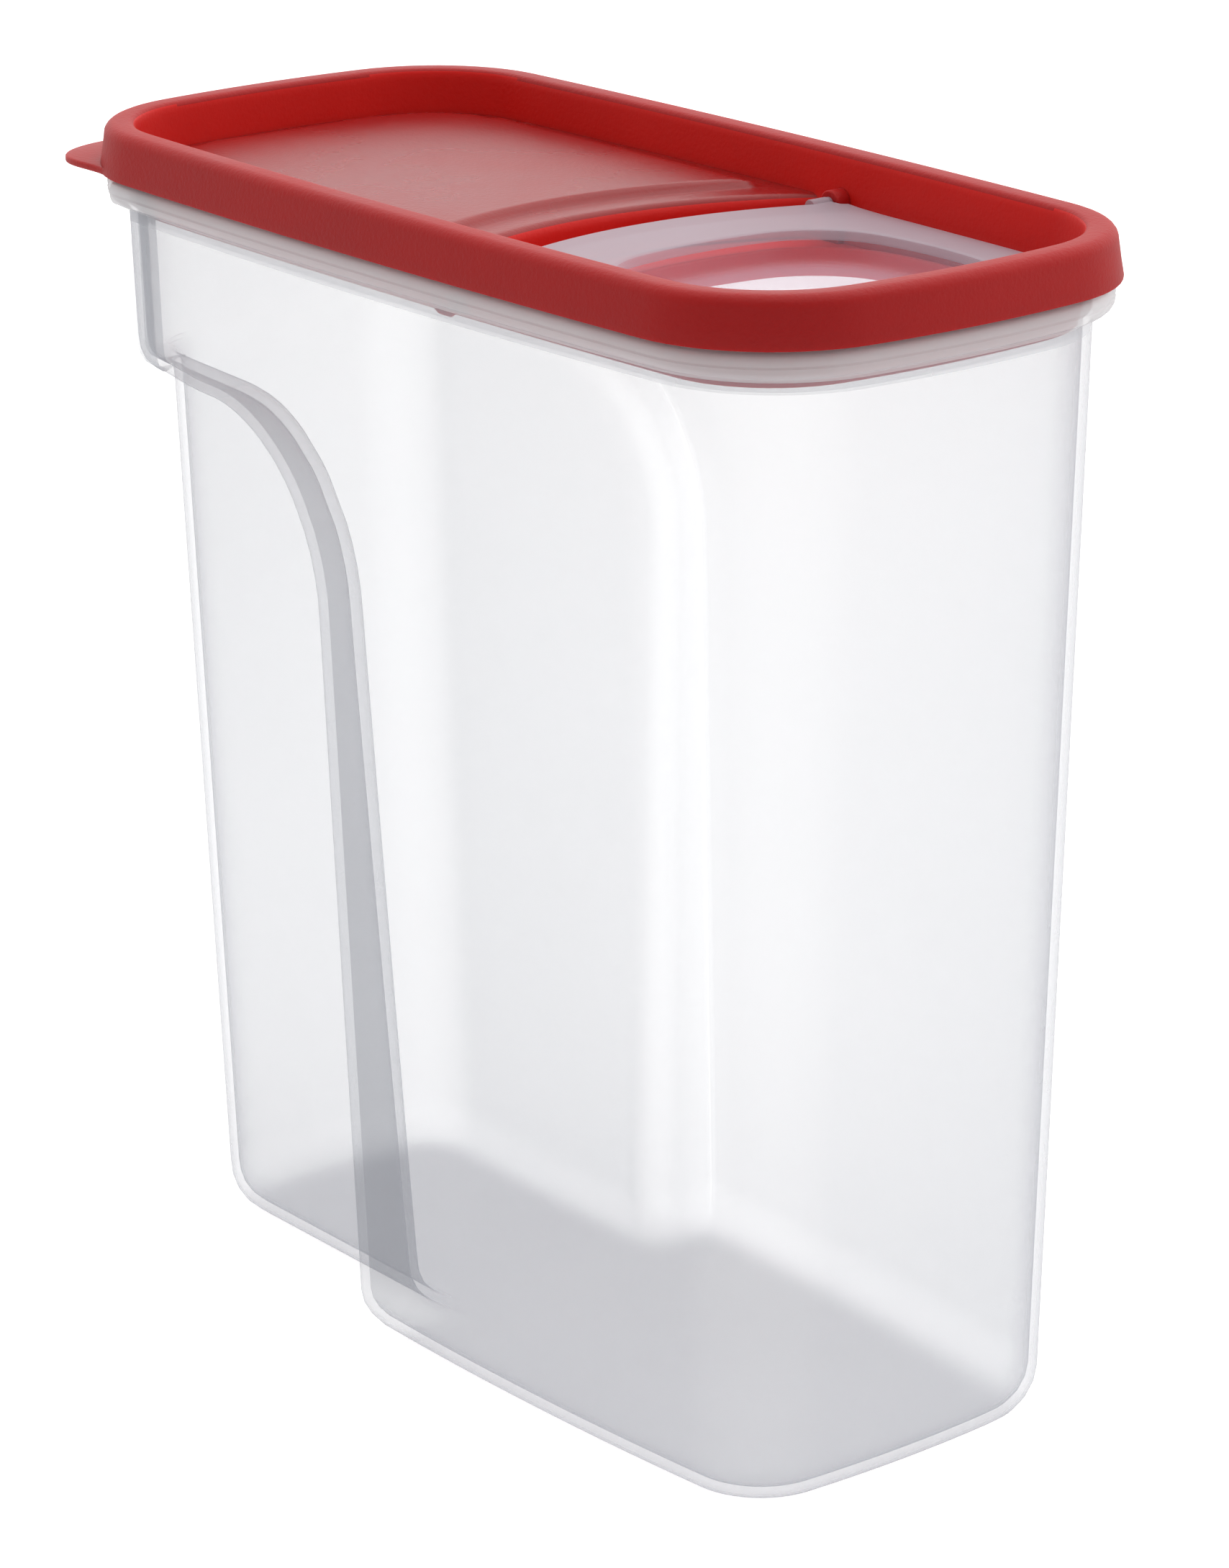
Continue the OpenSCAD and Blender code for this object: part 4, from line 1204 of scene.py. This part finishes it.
def finger_tab():
    """The upturned tab at the front that a finger lifts."""
    bm = bmesh.new()
    front = LID_HALF_L - COVER_INSET
    place = Matrix.Translation((front - FINGER_BACK, 0, COVER_BOTTOM + FINGER_FOOT + FINGER_H / 2))
    turn = Matrix.Rotation(radians(FINGER_LEAN), 4, "Y")
    size = Matrix.Diagonal((FINGER_T, FINGER_W, FINGER_H, 1))
    bmesh.ops.create_cube(bm, size=1, matrix=place @ turn @ size)
    top_corners = [e for e in bm.edges if abs((e.verts[0].co - e.verts[1].co).x) > 1 and e.calc_length() < 2
                   and (e.verts[0].co.z + e.verts[1].co.z) / 2 > COVER_TOP]
    bmesh.ops.bevel(bm, geom=top_corners, affect="EDGES", offset=FINGER_CORNER_R, segments=6, profile=0.5,
                    material=-1)
    sharp = [e for e in bm.edges if e.calc_face_angle(0) > radians(60)]
    bmesh.ops.bevel(bm, geom=sharp, affect="EDGES", offset=0.4, segments=2, profile=0.5, material=-1)
    return piece("finger_tab", bm, "cover", "flip_cover", [FROSTED], 40)


# ---- Stage, lights and camera ----

def make_camera():
    """The view of the photograph: direction, distance and lens as fitted to its outlines."""
    azimuth, elevation, roll = radians(51.92), radians(18.83), radians(-0.43)
    distance, side, up = 994.38 * MM, 5.37 * MM, -110.28 * MM
    focal_px, width_px = 7102.09, 1708
    sensor_w = 36
    back = Vector((sin(azimuth) * cos(elevation), -cos(azimuth) * cos(elevation), sin(elevation)))
    right = Vector((cos(azimuth), sin(azimuth), 0))
    above = back.cross(right)
    r = right * cos(roll) + above * sin(roll)
    u = above * cos(roll) - right * sin(roll)
    origin = Vector((0, 0, SHOULDER * MM))
    place = origin + back * distance + r * side + u * up
    data = bpy.data.cameras.new("camera")
    data.sensor_fit = "HORIZONTAL"
    data.sensor_width = sensor_w
    data.lens = focal_px / width_px * sensor_w
    cam = bpy.data.objects.new("camera", data)
    bpy.context.scene.collection.objects.link(cam)
    turn = Matrix((r, u, back)).transposed().to_4x4()
    cam.matrix_world = Matrix.Translation(place) @ turn
    bpy.context.scene.camera = cam


def make_floor():
    """A white sheet that throws less light back on the object than the camera sees."""
    bm = bmesh.new()
    bmesh.ops.create_circle(bm, cap_ends=True, segments=128, radius=8)
    mesh = bpy.data.meshes.new("floor")
    bm.to_mesh(mesh)
    bm.free()
    m, tree, shader = node_material("floor_white")
    rays = add(tree, "ShaderNodeLightPath")
    seen = rays.outputs["Is Camera Ray"]
    white = mix_colour(tree, seen, (0.75, 0.75, 0.75, 1), (0.93, 0.93, 0.93, 1))
    tree.links.new(white, shader.inputs["Base Color"])
    shader.inputs["Emission Color"].default_value = (1, 1, 1, 1)
    tree.links.new(ramp(tree, 0, 0.42, seen, 0, 1), shader.inputs["Emission Strength"])
    shader.inputs["Roughness"].default_value = 0.9
    mesh.materials.append(m)
    floor = bpy.data.objects.new("floor", mesh)
    bpy.context.scene.collection.objects.link(floor)
    floor.location.z = -0.0002


def area_light(name, place, target, size, power):
    """A rectangular lamp at place that looks at target, in metres and watts."""
    data = bpy.data.lights.new(name, "AREA")
    data.shape = "RECTANGLE"
    data.size, data.size_y = size
    data.energy = power
    lamp = bpy.data.objects.new(name, data)
    bpy.context.scene.collection.objects.link(lamp)
    lamp.location = place
    lamp.rotation_euler = (Vector(place) - Vector(target)).to_track_quat("Z", "Y").to_euler()


BRIGHT_SIDE = (-0.55, 0.74, 0.39)


def make_world():
    """A studio that is bright behind the object and dim on the camera's side."""
    world = bpy.data.worlds.new("studio")
    bpy.context.scene.world = world
    world.use_nodes = True
    tree = world.node_tree
    sky = tree.nodes["Background"]
    where = add(tree, "ShaderNodeTexCoord")
    side = add(tree, "ShaderNodeVectorMath", operation="DOT_PRODUCT")
    side.inputs[1].default_value = BRIGHT_SIDE
    tree.links.new(where.outputs["Generated"], side.inputs[0])
    tree.links.new(ramp(tree, 0.42, 1.25, side.outputs["Value"], -0.4, 0.8), sky.inputs["Strength"])
    sky.inputs["Color"].default_value = (1, 1, 1, 1)


make_camera()
make_floor()
make_world()
area_light("overhead", place=(0.2, 0.5, 1.7), target=(0.1, 0.2, 0), size=(2.4, 2.4), power=9)

container_body()
lid_shell()
deck_and_step()
well_floor()
spout_collar()
hinge_sockets()
pull_tab()
flip_cover()
hinge_pins()
finger_tab()

scene = bpy.context.scene
scene.view_settings.view_transform = "Standard"
scene.view_settings.look = "None"
